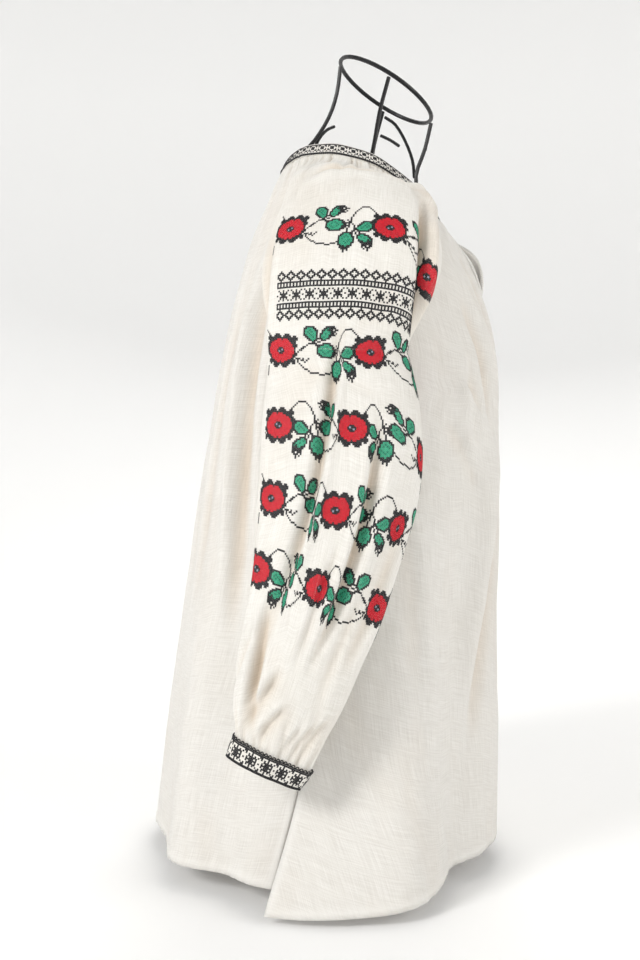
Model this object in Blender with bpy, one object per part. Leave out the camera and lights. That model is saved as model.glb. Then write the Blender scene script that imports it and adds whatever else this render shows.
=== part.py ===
"""A Romanian ie (smock blouse) worn by a limbless wire dress form.

The front faces -Y and the wearer's right side is -X. Every height in the tables is
measured from the hem, which hangs HEM_HEIGHT above the surface the form stands on.
"""
import math

import bpy
from mathutils import Vector

# ---------------------------------------------------------------- driving dimensions
HEM_HEIGHT = 0.022          # hem above the surface
CLOTH = 0.0012              # wall of the cotton
DOUBLE_CLOTH = 0.0018       # wall of the neckband and cuffs, sewn double
SEAM_GAP = 0.0004           # between pieces sewn edge to edge
SEAM_LEAN = 0.25            # a seam's edge faces lean this much to the cloth beside it
BAND_HEIGHT = 0.0125        # neckband
CUFF_HEIGHT = 0.0185
SLIT_DROP = 0.52            # how far down the yoke the neck slit is cut
SLIT_GAPE = 0.0030          # half the width of the open slit at its widest
SLIT_STAND = {1.0: 0.0030, -1.0: 0.0095}    # how far each edge of the slit stands forward
SLIT_STAND_RISE = 0.5       # of the stand, upwards
SLIT_TOP_GAPE = 0.0008      # and where the neckband's ends meet
EDGING_WIDTH = 0.0058
EDGING_CLOTH = 0.0016
EDGING_LIFT = 0.0011        # clear of the bend in the cloth under it
EDGING_INSET = 0.03         # of the column beside the slit, bare cloth at the very edge
EDGING_REACH = 0.9          # most of that column the braid may cover
ARMPIT_GAP = 0.0012         # sleeve tube clear of the body at the armpit
ARMPIT_TUCK = 0.0003        # the tube's inner face inside the body's side line there
YOKE_BLEND = 0.35           # drop at which the sleeve has left the yoke's shape
BAND_LEAN = (0.42, 0.91)    # the neckband leans in to the neck: across, up
CUFF_TAPER = 0.93           # lower edge of the cuff over its upper edge
SIDE_SLIT_TOP = 0.118       # height where the side seams end above the hem
WIRE_RADIUS = 0.0022
RING_RADIUS = 0.0024
WIRE_GAP = 0.0004           # between a wire's end and the ring it meets
BASE_WIDTH = 0.010          # flat base ring
BASE_THICKNESS = 0.004
BRACE_SHARE = 0.85          # braces are thinner than the uprights

COTTON = (0.86, 0.82, 0.74)
STITCHED = (0.62, 0.60, 0.56)
EDGING = (0.90, 0.88, 0.84)
BLACK_WIRE = (0.012, 0.012, 0.012)
COTTON_ROUGHNESS = 0.85
WIRE_ROUGHNESS = 0.45
SHARP_ANGLE = 50.0          # degrees between faces that show an edge

HALF_PANEL_COLUMNS = 11     # from the centre line of a panel to its side
SLEEVE_COLUMNS = 24
UNDERARM_TURN = 100.0       # degrees round from the front centre
BODY_MIDDLE = -0.03         # y of the body's middle
NECK_MIDDLE = -0.041        # y of the neckline's middle
RIGHT = 1.0
LEFT = -1.0

# How far down: 0 at the neckline, 1 at the armpit, 2 at the hem.
YOKE_DROPS = (0.0, 0.06, 0.14, 0.25, 0.38, 0.52, 0.66, 0.79, 0.91, 1.0)
SKIRT_DROPS = (1.18, 1.36, 1.54, 1.7, 1.802, 1.87, 1.935, 2.0)
ARM_DROPS = (0.0, 0.06, 0.14, 0.25, 0.38, 0.52, 0.66, 0.79, 0.91, 1.0,
             1.1, 1.22, 1.35, 1.48, 1.6, 1.71, 1.8, 1.88, 1.95, 2.0)

BODY_COLUMNS = ("drop", "half_width", "front_y", "front_h", "back_y", "back_h", "side_rise", "square")
BODY = (
    (0.00, 0.095, -0.132, 0.650, 0.050, 0.724, 0.026, 2.00),
    (0.25, 0.117, -0.153, 0.624, 0.069, 0.685, 0.030, 2.00),
    (0.50, 0.138, -0.170, 0.588, 0.088, 0.630, 0.026, 2.00),
    (0.75, 0.153, -0.182, 0.547, 0.105, 0.565, 0.014, 2.05),
    (1.00, 0.164, -0.190, 0.500, 0.118, 0.500, 0.000, 2.10),
    (1.25, 0.170, -0.191, 0.410, 0.133, 0.410, 0.000, 2.10),
    (1.50, 0.182, -0.190, 0.295, 0.151, 0.295, 0.000, 2.05),
    (1.75, 0.207, -0.186, 0.155, 0.171, 0.155, 0.000, 2.00),
    (2.00, 0.246, -0.181, 0.000, 0.188, 0.000, 0.000, 1.95),
)

# Where the raglan seams run, in degrees round from the front centre.
SEAM_COLUMNS = ("drop", "front_turn", "back_turn")
SEAMS = (
    (0.00, 50.0, 140.0),
    (0.25, 56.0, 134.0),
    (0.50, 66.0, 126.0),
    (0.75, 81.0, 116.0),
    (1.00, UNDERARM_TURN, UNDERARM_TURN),
)
SIDE_SEAM = (
    (1.00, UNDERARM_TURN),
    (1.80, 98.5),
    (2.00, 105.5),
)

# The sleeve's outermost line from the neckline to the armpit's height.
RIDGE_COLUMNS = ("drop", "ridge_x", "ridge_y", "ridge_h", "roundness", "fullness")
RIDGE = (
    (0.00, 0.0950, -0.0330, 0.7150, 1.0, 0.000),
    (0.25, 0.1300, -0.0310, 0.7030, 1.1, 0.008),
    (0.50, 0.1700, -0.0270, 0.6720, 1.3, 0.025),
    (0.75, 0.2120, -0.0200, 0.6080, 1.6, 0.052),
    (1.00, 0.2520, -0.0093, 0.5000, 2.0, 0.067),
)

# The sleeve's tube below the armpit, down to the cuff.
ARM_COLUMNS = ("drop", "centre_h", "centre_y", "half_depth", "half_thick", "clearance", "tilt")
ARM = (
    (1.00, 0.500, -0.0093, 0.0670, 0.0430, 0.0000, 0.0),
    (1.20, 0.435, -0.0120, 0.0750, 0.0500, 0.0050, 0.0),
    (1.40, 0.365, -0.0075, 0.0745, 0.0510, 0.0090, 1.0),
    (1.60, 0.285, 0.0085, 0.0640, 0.0460, 0.0140, 5.0),
    (1.80, 0.205, 0.0310, 0.0530, 0.0370, 0.0190, 12.0),
    (1.92, 0.160, 0.0450, 0.0440, 0.0300, 0.0210, 20.0),
    (2.00, 0.132, 0.0525, 0.0363, 0.0240, 0.0220, 25.6),
)

# Long soft folds: turn and spread in degrees, rise at the hem (out +, in -), top where they die out.
FRONT_FOLDS = (
    (69.0, 13.0, 0.018, 0.47),
    (44.0, 10.0, -0.016, 0.50),
    (17.0, 9.0, 0.006, 0.36),
    (-8.0, 9.0, -0.009, 0.40),
    (-30.0, 10.0, 0.010, 0.45),
    (-47.0, 8.0, -0.013, 0.42),
    (-66.0, 12.0, 0.016, 0.44),
)
BACK_FOLDS = (
    (124.0, 9.0, -0.011, 0.56),
    (141.0, 9.0, 0.009, 0.48),
    (163.0, 10.0, -0.007, 0.40),
    (187.0, 11.0, 0.007, 0.44),
    (209.0, 9.0, -0.010, 0.50),
    (231.0, 10.0, 0.009, 0.46),
)
ARM_FOLDS = (
    (0.18, 0.050, -0.0060, 0.40),
    (0.30, 0.055, 0.0040, 0.45),
    (0.44, 0.060, -0.0035, 0.36),
    (0.66, 0.055, 0.0040, 0.42),
    (0.80, 0.050, -0.0055, 0.40),
)
QUIET_SPREAD = 14.0         # degrees beside a seam where the folds die away
SLIT_FLARE = 0.030          # front panel's side edge swings out at the hem
SLIT_DIP = 0.015            # and hangs this much lower
SLIT_FLARE_SPREAD = 46.0    # degrees over which the swing dies away
GATHER_RISE = 0.0016        # depth of the pleats under the neckband and over the cuffs
GATHER_LENGTH = 0.55        # how far down the yoke they reach
GATHER_START = 0.06         # the drop where they are at their deepest
SLEEVE_PLEAT_RISE = 0.05    # they stand up as well as out on the sleeve's head
CUFF_GATHER_PACE = 1.6      # the cuff's gathers die away faster, in drops
ARM_FOLDS_END = 0.13        # height of the sleeve's end, where its folds start
SLEEVE_INSIDE = (0.12, -0.01, 0.45)     # a point that the whole sleeve faces away from

# The wire form inside: height, half-width and the front and back faces.
FORM_COLUMNS = ("height", "half_width", "front_y", "back_y")
FORM_FOOT = -0.016
FORM = (
    (FORM_FOOT, 0.128, -0.140, 0.112),
    (0.060, 0.142, -0.146, 0.122),
    (0.150, 0.152, -0.150, 0.124),
    (0.240, 0.136, -0.142, 0.110),
    (0.330, 0.124, -0.140, 0.092),
    (0.470, 0.151, -0.179, 0.107),
    (0.540, 0.142, -0.170, 0.094),
    (0.600, 0.124, -0.152, 0.078),
)
BODY_HEIGHTS = (0.54, 0.47, 0.40, 0.33, 0.24, 0.15, 0.06, FORM_FOOT)
HOOPS = (("chest_ring", 0.465), ("waist_ring", 0.33), ("hip_ring", 0.15))
SHORT_UPRIGHTS = (("wire_front_right", 45), ("wire_back_right", 135),
                  ("wire_back_left", 225), ("wire_front_left", 315))
RING_STEP = 9               # degrees between the points of a hoop
WIRE_STEPS = 3              # points of a wire for each point of its route
RING_TILT = 32.0            # the neck ring leans down to the front
NECK_RING = 0.060
NECK_CENTRE = (0.0, -0.066, 0.818)

# Routes of the wires between the neck ring and the chest, as x, y and height. The braces are
# on the wearer's left only.
FRONT_NECK = ((0, -0.110, 0.752), (0, -0.100, 0.722), (0, -0.105, 0.697), (0, -0.121, 0.655),
              (0, -0.148, 0.602))
BACK_NECK = ((0, -0.011, 0.815), (0, -0.002, 0.788), (0, 0.014, 0.762), (0, 0.037, 0.735),
             (0, 0.054, 0.690), (0, 0.074, 0.615))
SIDE_NECK = ((0.063, -0.056, 0.775), (0.071, -0.048, 0.730), (0.097, -0.037, 0.690),
             (0.136, -0.031, 0.656), (0.150, -0.028, 0.600))
BRACES = {
    "brace_front_upper": ((0.060, -0.0685, 0.806), (0.052, -0.080, 0.795), (0.038, -0.0905, 0.772),
                          (0.020, -0.0975, 0.745), (0.0056, -0.0985, 0.722)),
    "brace_front_lower": ((0.0615, -0.0635, 0.785), (0.055, -0.074, 0.778), (0.0435, -0.0835, 0.768)),
    "brace_back": ((0.022, -0.008, 0.784), (0.010, 0.001, 0.776), (0.0062, 0.010, 0.764),
                   (0.018, 0.018, 0.748), (0.032, 0.022, 0.730), (0.040, 0.020, 0.705)),
}


# ---------------------------------------------------------------- reading the tables
def table_row(columns, rows, place):
    """Values of a table at a place between its rows, on smooth curves through the rows."""
    places = [row[0] for row in rows]
    place = min(max(place, places[0]), places[-1])
    index = max(i for i in range(len(rows) - 1) if places[i] <= place + 1e-9)
    span = places[index + 1] - places[index]
    t = (place - places[index]) / span
    values = {}
    for column, name in enumerate(columns):
        low, high = rows[index][column], rows[index + 1][column]
        before = rows[max(index - 1, 0)]
        after = rows[min(index + 2, len(rows) - 1)]
        slope_low = (high - before[column]) / (places[index + 1] - before[0])
        slope_high = (after[column] - low) / (after[0] - places[index])
        values[name] = (
            low * (2 * t ** 3 - 3 * t ** 2 + 1)
            + slope_low * span * (t ** 3 - 2 * t ** 2 + t)
            + high * (3 * t ** 2 - 2 * t ** 3)
            + slope_high * span * (t ** 3 - t ** 2)
        )
    return values


def ease(value):
    """A smooth step from 0 to 1."""
    value = min(max(value, 0.0), 1.0)
    return value * value * (3.0 - 2.0 * value)


def signed_power(value, power):
    return math.copysign(abs(value) ** power, value)


# ---------------------------------------------------------------- the blouse's surface
def fold_rise(folds, turn, height):
    """How far the long folds lift the cloth at this turn and height."""
    rise = 0.0
    for fold_turn, spread, depth, top_h in folds:
        reach = ease((top_h - height) / top_h)
        rise += depth * reach * math.exp(-((turn - fold_turn) / spread) ** 2)
    return rise


def body_point(drop, turn, panel):
    """Outer face of the front or back panel, turn in degrees round from the front centre."""
    row = table_row(BODY_COLUMNS, BODY, drop)
    angle = math.radians(turn)
    centre_y = (row["front_y"] + row["back_y"]) / 2
    half_depth = (row["back_y"] - row["front_y"]) / 2
    power = 2.0 / row["square"]
    across = -signed_power(math.sin(angle), power)
    along = -signed_power(math.cos(angle), power)
    blend = (1.0 - math.cos(angle)) / 2
    height = row["front_h"] + (row["back_h"] - row["front_h"]) * blend
    height += row["side_rise"] * math.sin(angle) ** 2
    folds = FRONT_FOLDS if panel == "front" else BACK_FOLDS
    seam = seam_turns(drop)[0 if panel == "front" else 1]
    from_seam = abs(min(turn % 360.0, 360.0 - turn % 360.0) - seam)
    out = fold_rise(folds, turn, height) * ease(from_seam / QUIET_SPREAD)
    if panel == "front":
        edge = math.exp(-((abs(turn) - UNDERARM_TURN) / SLIT_FLARE_SPREAD) ** 2)
        loose = ease((SIDE_SLIT_TOP - row["front_h"]) / SIDE_SLIT_TOP) * edge
        out += SLIT_FLARE * loose
        height -= SLIT_DIP * loose
    return Vector((
        (row["half_width"] + out) * across,
        centre_y + (half_depth + out) * along,
        HEM_HEIGHT + height,
    ))


def seam_turns(drop):
    """Where the front and back panels end at this drop, in degrees round from the front."""
    if drop >= 1.0:
        side = table_row(("drop", "turn"), SIDE_SEAM, drop)["turn"]
        return side, side
    row = table_row(SEAM_COLUMNS, SEAMS, drop)
    return row["front_turn"], row["back_turn"]


def pleat(column, drop):
    """Alternate columns lift under the neckband; the very edge stays on the band."""
    fade = ease(drop / GATHER_START) * (1.0 - ease(drop / GATHER_LENGTH))
    return GATHER_RISE * fade * (1.0 if column % 2 else -1.0)


def outward(point, rise=0.0):
    """Direction away from the body's middle."""
    return Vector((point.x, point.y - BODY_MIDDLE, rise)).normalized()


def front_rows():
    """Rows of the front panel from neckline to hem; the middle is two columns, for the slit."""
    rows = []
    for drop in YOKE_DROPS + SKIRT_DROPS:
        seam = seam_turns(drop)[0]
        half = []
        for column in range(HALF_PANEL_COLUMNS + 1):
            turn = seam * (1.0 - column / HALF_PANEL_COLUMNS)
            half.append((turn, column))
        row = []
        for side in (RIGHT, LEFT):
            points = []
            for turn, column in half:
                point = body_point(drop, side * turn, "front")
                if 0 < column < HALF_PANEL_COLUMNS:
                    point += outward(point) * pleat(column, drop)
                points.append(point)
            if drop < SLIT_DROP:
                open_share = math.sin(math.pi * drop / SLIT_DROP)
                gape = SLIT_TOP_GAPE + SLIT_GAPE * open_share
                stand = SLIT_STAND[side] * open_share
                points[-1] = points[-1] + Vector((-side * gape, -stand, stand * SLIT_STAND_RISE))
            row.append(points)
        rows.append(row[0] + row[1][::-1])
    return rows


def back_rows():
    """Rows of the back panel, from its right-hand seam round to its left-hand one."""
    rows = []
    count = 2 * HALF_PANEL_COLUMNS
    for drop in YOKE_DROPS + SKIRT_DROPS:
        seam = seam_turns(drop)[1]
        points = []
        for column in range(count + 1):
            turn = seam + (360.0 - 2.0 * seam) * column / count
            point = body_point(drop, turn, "back")
            if 0 < column < count:
                point += outward(point) * pleat(column, drop)
            points.append(point)
        rows.append(points)
    return rows


def sleeve_open_point(drop, share, side):
    """Sleeve between neckline and armpit; share runs 0..1 from front seam to back seam."""
    front_turn, back_turn = seam_turns(drop)
    front = body_point(drop, side * front_turn, "front")
    back = body_point(drop, 360.0 - back_turn if side == LEFT else back_turn, "back")
    if drop >= 1.0:
        front = front + Vector((-side * ARMPIT_GAP, 0.0, 0.0))
        back = front.copy()
    row = table_row(RIDGE_COLUMNS, RIDGE, drop)
    angle = math.pi * share
    chord = front.lerp(back, (1.0 - math.cos(angle)) / 2)
    ridge = Vector((-side * row["ridge_x"], row["ridge_y"], HEM_HEIGHT + row["ridge_h"]))
    lift = (ridge - front.lerp(back, 0.5)) * math.sin(angle) ** row["roundness"]
    spread = -2.0 * row["fullness"] * math.sin(angle) * math.cos(angle)
    full = chord + lift + Vector((0.0, spread, 0.0))
    yoke = body_point(drop, side * (front_turn + (back_turn - front_turn) * share), "front")
    return yoke.lerp(full, ease(drop / YOKE_BLEND))


def sleeve_tube_point(drop, share, side, lift):
    """Sleeve below the armpit, a flattened tube that hangs just clear of the body."""
    row = table_row(ARM_COLUMNS, ARM, drop)
    angle = 2.0 * math.pi * share
    skirt_drop = drop_at_height(row["centre_h"])
    body_half = table_row(BODY_COLUMNS, BODY, skirt_drop)["half_width"]
    inner = body_half - ARMPIT_TUCK + row["clearance"]
    out = lift + fold_rise(ARM_FOLDS, share, max(row["centre_h"] - ARM_FOLDS_END, 0.0))
    across = row["half_thick"] + out
    along = row["half_depth"] + out
    y = -along * math.sin(angle)
    tilt = math.radians(row["tilt"])
    return Vector((
        -side * (inner + row["half_thick"] - across * math.cos(angle)),
        row["centre_y"] + y * math.cos(tilt),
        HEM_HEIGHT + row["centre_h"] + y * math.sin(tilt),
    ))


def drop_at_height(height):
    """The skirt's drop whose row hangs at this height."""
    low, high = 1.0, 2.0
    for _ in range(30):
        middle = (low + high) / 2
        if table_row(BODY_COLUMNS, BODY, middle)["front_h"] > height:
            low = middle
        else:
            high = middle
    return (low + high) / 2


def sleeve_rows(side):
    """Rings of one sleeve: open from the neckline to the armpit, closed from there down."""
    rows = []
    for drop in ARM_DROPS:
        points = []
        for column in range(SLEEVE_COLUMNS + 1):
            share = column / SLEEVE_COLUMNS
            if drop > 1.0:
                lift = pleat(column, (2.0 - drop) * CUFF_GATHER_PACE)
                points.append(sleeve_tube_point(drop, share, side, lift))
                continue
            point = sleeve_open_point(drop, share, side)
            if 0 < column < SLEEVE_COLUMNS:
                point = point + outward(point, SLEEVE_PLEAT_RISE) * pleat(column, drop)
            points.append(point)
        rows.append(points)
    return rows


# ---------------------------------------------------------------- sheets and walls
class Sheet:
    """One cut piece: rows of points, with the columns that are sewn to each other."""

    def __init__(self, name, rows, cloth, colour, joined=None, split=None):
        self.name = name
        self.cloth = cloth
        self.colour = colour
        self.points = []
        self.faces = []
        columns = len(rows[0])
        index = {}
        for r, row in enumerate(rows):
            for c, point in enumerate(row):
                partner = joined(r, c) if joined else None
                if partner is not None:
                    index[r, c] = index[r, partner]
                else:
                    index[r, c] = len(self.points)
                    self.points.append(point.copy())
        for r in range(len(rows) - 1):
            for c in range(columns - 1):
                if split and split(c):
                    continue
                corners = (index[r, c], index[r + 1, c], index[r + 1, c + 1], index[r, c + 1])
                self.faces.append(corners)
        self.index = index
        self.base = [point.copy() for point in self.points]
        self.normals = self.own_normals()

    def own_normals(self):
        normals = [Vector() for _ in self.points]
        for face in self.faces:
            a, b, c, d = (self.points[i] for i in face)
            cross = (c - a).cross(d - b)
            for i in face:
                normals[i] += cross
        return [normal.normalized() for normal in normals]

    def turn_out(self, centre_of):
        """Flip the faces when they point at the piece's own middle."""
        score = 0.0
        for face in self.faces:
            a, b, c, d = (self.points[i] for i in face)
            middle = (a + b + c + d) / 4
            score += (c - a).cross(d - b).dot(middle - centre_of(middle))
        if score < 0:
            self.faces = [face[::-1] for face in self.faces]
            self.normals = self.own_normals()

    def inward(self, vertex):
        """Direction from a vertex on the edge into the piece."""
        total = Vector()
        for face in self.faces:
            if vertex in face:
                middle = sum((self.base[i] for i in face), Vector()) / len(face)
                total += (middle - self.base[vertex]).normalized()
        return total


def sew(sheets):
    """Edges that start at the same points share one direction and part by the seam's gap."""
    meeting = {}
    for sheet in sheets:
        for vertex, point in enumerate(sheet.base):
            key = tuple(round(value, 6) for value in point)
            meeting.setdefault(key, []).append((sheet, vertex))
    for group in meeting.values():
        if len({id(sheet) for sheet, _ in group}) < 2:
            continue
        inwards = [sheet.inward(vertex) for sheet, vertex in group]
        shared = Vector()
        for (sheet, vertex), inward in zip(group, inwards):
            shared += sheet.normals[vertex] + inward.normalized() * SEAM_LEAN
        shared.normalize()
        for (sheet, vertex), inward in zip(group, inwards):
            aside = inward - shared * inward.dot(shared)
            sheet.normals[vertex] = shared
            sheet.points[vertex] = sheet.base[vertex] + aside.normalized() * SEAM_GAP / 2


def wall(sheet):
    """Close a sheet into a wall of its cloth's thickness and make the object."""
    outer = sheet.points
    inner = [p - n * sheet.cloth for p, n in zip(sheet.points, sheet.normals)]
    count = len(outer)
    faces = list(sheet.faces)
    faces += [tuple(i + count for i in face[::-1]) for face in sheet.faces]
    edges = {}
    for face in sheet.faces:
        for a, b in zip(face, face[1:] + face[:1]):
            edges[a, b] = True
    for a, b in edges:
        if (b, a) not in edges:
            faces.append((b, a, a + count, b + count))
    mesh = bpy.data.meshes.new(sheet.name)
    mesh.from_pydata([tuple(p) for p in outer + inner], [], faces)
    mesh.validate()
    mesh.shade_smooth()
    mesh.set_sharp_from_angle(angle=math.radians(SHARP_ANGLE))
    return add_object(sheet.name, mesh, sheet.colour, COTTON_ROUGHNESS)


# ---------------------------------------------------------------- objects and materials
def add_material(name, colour, roughness):
    material = bpy.data.materials.new(name)
    material.use_nodes = True
    shader = material.node_tree.nodes["Principled BSDF"]
    shader.inputs["Base Color"].default_value = (*colour, 1.0)
    shader.inputs["Roughness"].default_value = roughness
    return material


def add_object(name, data, colour, roughness):
    data.materials.append(add_material(name + "_finish", colour, roughness))
    piece = bpy.data.objects.new(name, data)
    bpy.context.scene.collection.objects.link(piece)
    return piece


# ---------------------------------------------------------------- the garment
SLIT_ROWS = sum(1 for drop in YOKE_DROPS if drop < SLIT_DROP)


def make_panels():
    """The front panel, cut down its middle as far as the slit reaches, and the back panel."""
    middle = HALF_PANEL_COLUMNS
    front = Sheet(
        "front_panel", front_rows(), CLOTH, COTTON,
        joined=lambda r, c: middle if c == middle + 1 and r >= SLIT_ROWS else None,
        split=lambda c: c == middle,
    )
    back = Sheet("back_panel", back_rows(), CLOTH, COTTON)
    for sheet in (front, back):
        sheet.turn_out(lambda p: Vector((0.0, BODY_MIDDLE, p.z)))
    return front, back


def make_sleeve(name, side):
    """A raglan sleeve; its last column is its first one from the armpit down."""
    closed_from = ARM_DROPS.index(1.0)
    last = SLEEVE_COLUMNS
    sleeve = Sheet(
        name, sleeve_rows(side), CLOTH, COTTON,
        joined=lambda r, c: 0 if c == last and r >= closed_from else None,
    )
    inside = Vector((-side * SLEEVE_INSIDE[0], SLEEVE_INSIDE[1], SLEEVE_INSIDE[2]))
    sleeve.turn_out(lambda p: Vector((inside.x, inside.y, min(p.z, inside.z))))
    return sleeve


def make_cuff(name, sleeve):
    """The cuff carries the sleeve's last ring on down, a little narrower."""
    last_row = len(ARM_DROPS) - 1
    ring = [sleeve.base[sleeve.index[last_row, c]] for c in range(SLEEVE_COLUMNS)]
    centre = sum(ring, Vector()) / len(ring)
    across = (ring[SLEEVE_COLUMNS // 4] - centre).cross(ring[0] - centre).normalized()
    down = across if across.z < 0 else -across
    lower = [centre + (p - centre) * CUFF_TAPER + down * CUFF_HEIGHT for p in ring]
    middle = [(high + low) / 2 for high, low in zip(ring, lower)]
    rows = [ring + ring[:1], middle + middle[:1], lower + lower[:1]]
    cuff = Sheet(
        name, rows, DOUBLE_CLOTH, STITCHED,
        joined=lambda r, c: 0 if c == SLEEVE_COLUMNS else None,
    )
    cuff.turn_out(lambda p: centre)
    return cuff


def make_neckband(front, back, right, left):
    """The band stands on the first row of every piece gathered into it, open at the slit."""
    half = HALF_PANEL_COLUMNS
    ring = [front.base[front.index[0, c]] for c in range(half, -1, -1)]
    ring += [right.base[right.index[0, c]] for c in range(1, SLEEVE_COLUMNS + 1)]
    ring += [back.base[back.index[0, c]] for c in range(1, 2 * half + 1)]
    ring += [left.base[left.index[0, c]] for c in range(SLEEVE_COLUMNS - 1, -1, -1)]
    ring += [front.base[front.index[0, c]] for c in range(2 * half, half, -1)]
    upper = []
    for point in ring:
        inward = Vector((-point.x, NECK_MIDDLE - point.y, 0.0)).normalized()
        lean = (inward * BAND_LEAN[0] + Vector((0.0, 0.0, BAND_LEAN[1]))).normalized()
        upper.append(point + lean * BAND_HEIGHT)
    band = Sheet("neckband", [ring, upper], DOUBLE_CLOTH, STITCHED)
    band.turn_out(lambda p: Vector((0.0, NECK_MIDDLE, p.z)))
    return band


def make_slit_edging(name, front, side):
    """A flat braid on the cloth beside the slit, made from the panel's points, moved out."""
    edge = HALF_PANEL_COLUMNS if side == RIGHT else HALF_PANEL_COLUMNS + 1
    beside = edge - 1 if side == RIGHT else edge + 1
    at_slit = [front.points[front.index[r, edge]] for r in range(SLIT_ROWS)]
    next_to = [front.points[front.index[r, beside]] for r in range(SLIT_ROWS)]
    inner, outer, normals = [], [], []
    for r in range(SLIT_ROWS):
        above, below = max(r - 1, 0), min(r + 1, SLIT_ROWS - 1)
        across = next_to[r] - at_slit[r]
        normal = across.cross(at_slit[below] - at_slit[above]).normalized()
        normal = normal if normal.y < 0 else -normal
        out = normal * (EDGING_CLOTH + EDGING_LIFT)
        share = min(EDGING_WIDTH / across.length, EDGING_REACH)
        inner.append(at_slit[r] + across * EDGING_INSET + out)
        outer.append(at_slit[r] + across * share + out)
        normals.append(normal)
    strip = Sheet(name, [inner, outer], EDGING_CLOTH, EDGING)
    strip.turn_out(lambda p: Vector((0.0, BODY_MIDDLE, p.z)))
    strip.normals = normals + normals
    return strip


def make_blouse():
    front, back = make_panels()
    right = make_sleeve("sleeve_right", RIGHT)
    left = make_sleeve("sleeve_left", LEFT)
    band = make_neckband(front, back, right, left)
    cuffs = [make_cuff("cuff_right", right), make_cuff("cuff_left", left)]
    sheets = [front, back, right, left, band] + cuffs
    sew(sheets)
    sheets.append(make_slit_edging("slit_edging_right", front, RIGHT))
    sheets.append(make_slit_edging("slit_edging_left", front, LEFT))
    return [wall(sheet) for sheet in sheets]


# ---------------------------------------------------------------- the wire form
def smooth_route(points, steps):
    """A smooth curve through a few points of a wire."""
    places = [(float(i), *point) for i, point in enumerate(points)]
    count = (len(points) - 1) * steps
    route = []
    for i in range(count + 1):
        row = table_row(("place", "x", "y", "z"), places, i / steps)
        route.append(Vector((row["x"], row["y"], row["z"])))
    return route


def add_wire(name, route, radius, closed=False):
    """A round wire along a route."""
    curve = bpy.data.curves.new(name, "CURVE")
    curve.dimensions = "3D"
    curve.bevel_depth = radius
    curve.bevel_resolution = 2
    curve.use_fill_caps = True
    spline = curve.splines.new("POLY")
    spline.points.add(len(route) - 1)
    for knot, point in zip(spline.points, route):
        knot.co = (*point, 1.0)
    spline.use_cyclic_u = closed
    return add_object(name, curve, BLACK_WIRE, WIRE_ROUGHNESS)


def form_point(height, turn, out=0.0):
    """A point on the form's outside, turn in degrees round from the front centre."""
    row = table_row(FORM_COLUMNS, FORM, height)
    angle = math.radians(turn)
    centre_y = (row["front_y"] + row["back_y"]) / 2
    half_depth = (row["back_y"] - row["front_y"]) / 2
    return Vector((
        -(row["half_width"] + out) * math.sin(angle),
        centre_y - (half_depth + out) * math.cos(angle),
        HEM_HEIGHT + height,
    ))


def neck_ring_point(turn):
    angle = math.radians(turn)
    tilt = math.radians(RING_TILT)
    along = -NECK_RING * math.cos(angle)
    centre = Vector(NECK_CENTRE) + Vector((0.0, 0.0, HEM_HEIGHT))
    across = -NECK_RING * math.sin(angle)
    return centre + Vector((across, along * math.cos(tilt), along * math.sin(tilt)))


def add_form_ring(name, height):
    """A hoop round the outside of the uprights."""
    out = WIRE_RADIUS + RING_RADIUS + WIRE_GAP
    route = [form_point(height, turn, out) for turn in range(0, 360, RING_STEP)]
    return add_wire(name, route, RING_RADIUS, closed=True)


def add_base_ring():
    """A flat hoop that the form stands on."""
    corners = []
    for turn in range(0, 360, RING_STEP):
        outer = form_point(FORM_FOOT, turn, BASE_WIDTH / 2)
        inner = form_point(FORM_FOOT, turn, -BASE_WIDTH / 2)
        outer.z = 0.0
        inner.z = 0.0
        raised = Vector((0.0, 0.0, BASE_THICKNESS))
        corners.append([outer, inner, inner + raised, outer + raised])
    points = [tuple(point) for row in corners for point in row]
    faces = []
    for i in range(len(corners)):
        j = (i + 1) % len(corners)
        for k in range(4):
            m = (k + 1) % 4
            faces.append((4 * i + k, 4 * j + k, 4 * j + m, 4 * i + m))
    mesh = bpy.data.meshes.new("base_ring")
    mesh.from_pydata(points, [], faces)
    return add_object("base_ring", mesh, BLACK_WIRE, WIRE_ROUGHNESS)


def upright(turn, heights):
    """A wire's way down the outside of the form."""
    return [form_point(height, turn) for height in heights]


def neck_route(points, side=RIGHT):
    """Points given as x, y and height from the hem, on one side of the form."""
    return [Vector((-side * x, y, HEM_HEIGHT + h)) for x, y, h in points]


def under_ring(turn):
    """Where an upright meets the underside of the neck ring."""
    return neck_ring_point(turn) - Vector((0.0, 0.0, RING_RADIUS + WIRE_RADIUS + WIRE_GAP))


def make_form():
    ring = [neck_ring_point(turn) for turn in range(0, 360, RING_STEP)]
    add_wire("neck_ring", ring, RING_RADIUS, closed=True)
    for name, height in HOOPS:
        add_form_ring(name, height)
    add_base_ring()
    uprights = (
        ("wire_front", 0, neck_route(FRONT_NECK)),
        ("wire_back", 180, neck_route(BACK_NECK)),
        ("wire_right", 90, neck_route(SIDE_NECK, RIGHT)),
        ("wire_left", 270, neck_route(SIDE_NECK, LEFT)),
    )
    for name, turn, neck in uprights:
        route = [under_ring(turn)] + neck + upright(turn, BODY_HEIGHTS)
        add_wire(name, smooth_route(route, WIRE_STEPS), WIRE_RADIUS)
    for name, turn in SHORT_UPRIGHTS:
        route = smooth_route(upright(turn, BODY_HEIGHTS[1:]), WIRE_STEPS)
        add_wire(name, route, WIRE_RADIUS)
    for name, points in BRACES.items():
        route = smooth_route(neck_route(points, LEFT), WIRE_STEPS)
        add_wire(name, route, WIRE_RADIUS * BRACE_SHARE)


def main():
    for piece in list(bpy.data.objects):
        bpy.data.objects.remove(piece)
    make_blouse()
    make_form()


main()
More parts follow.
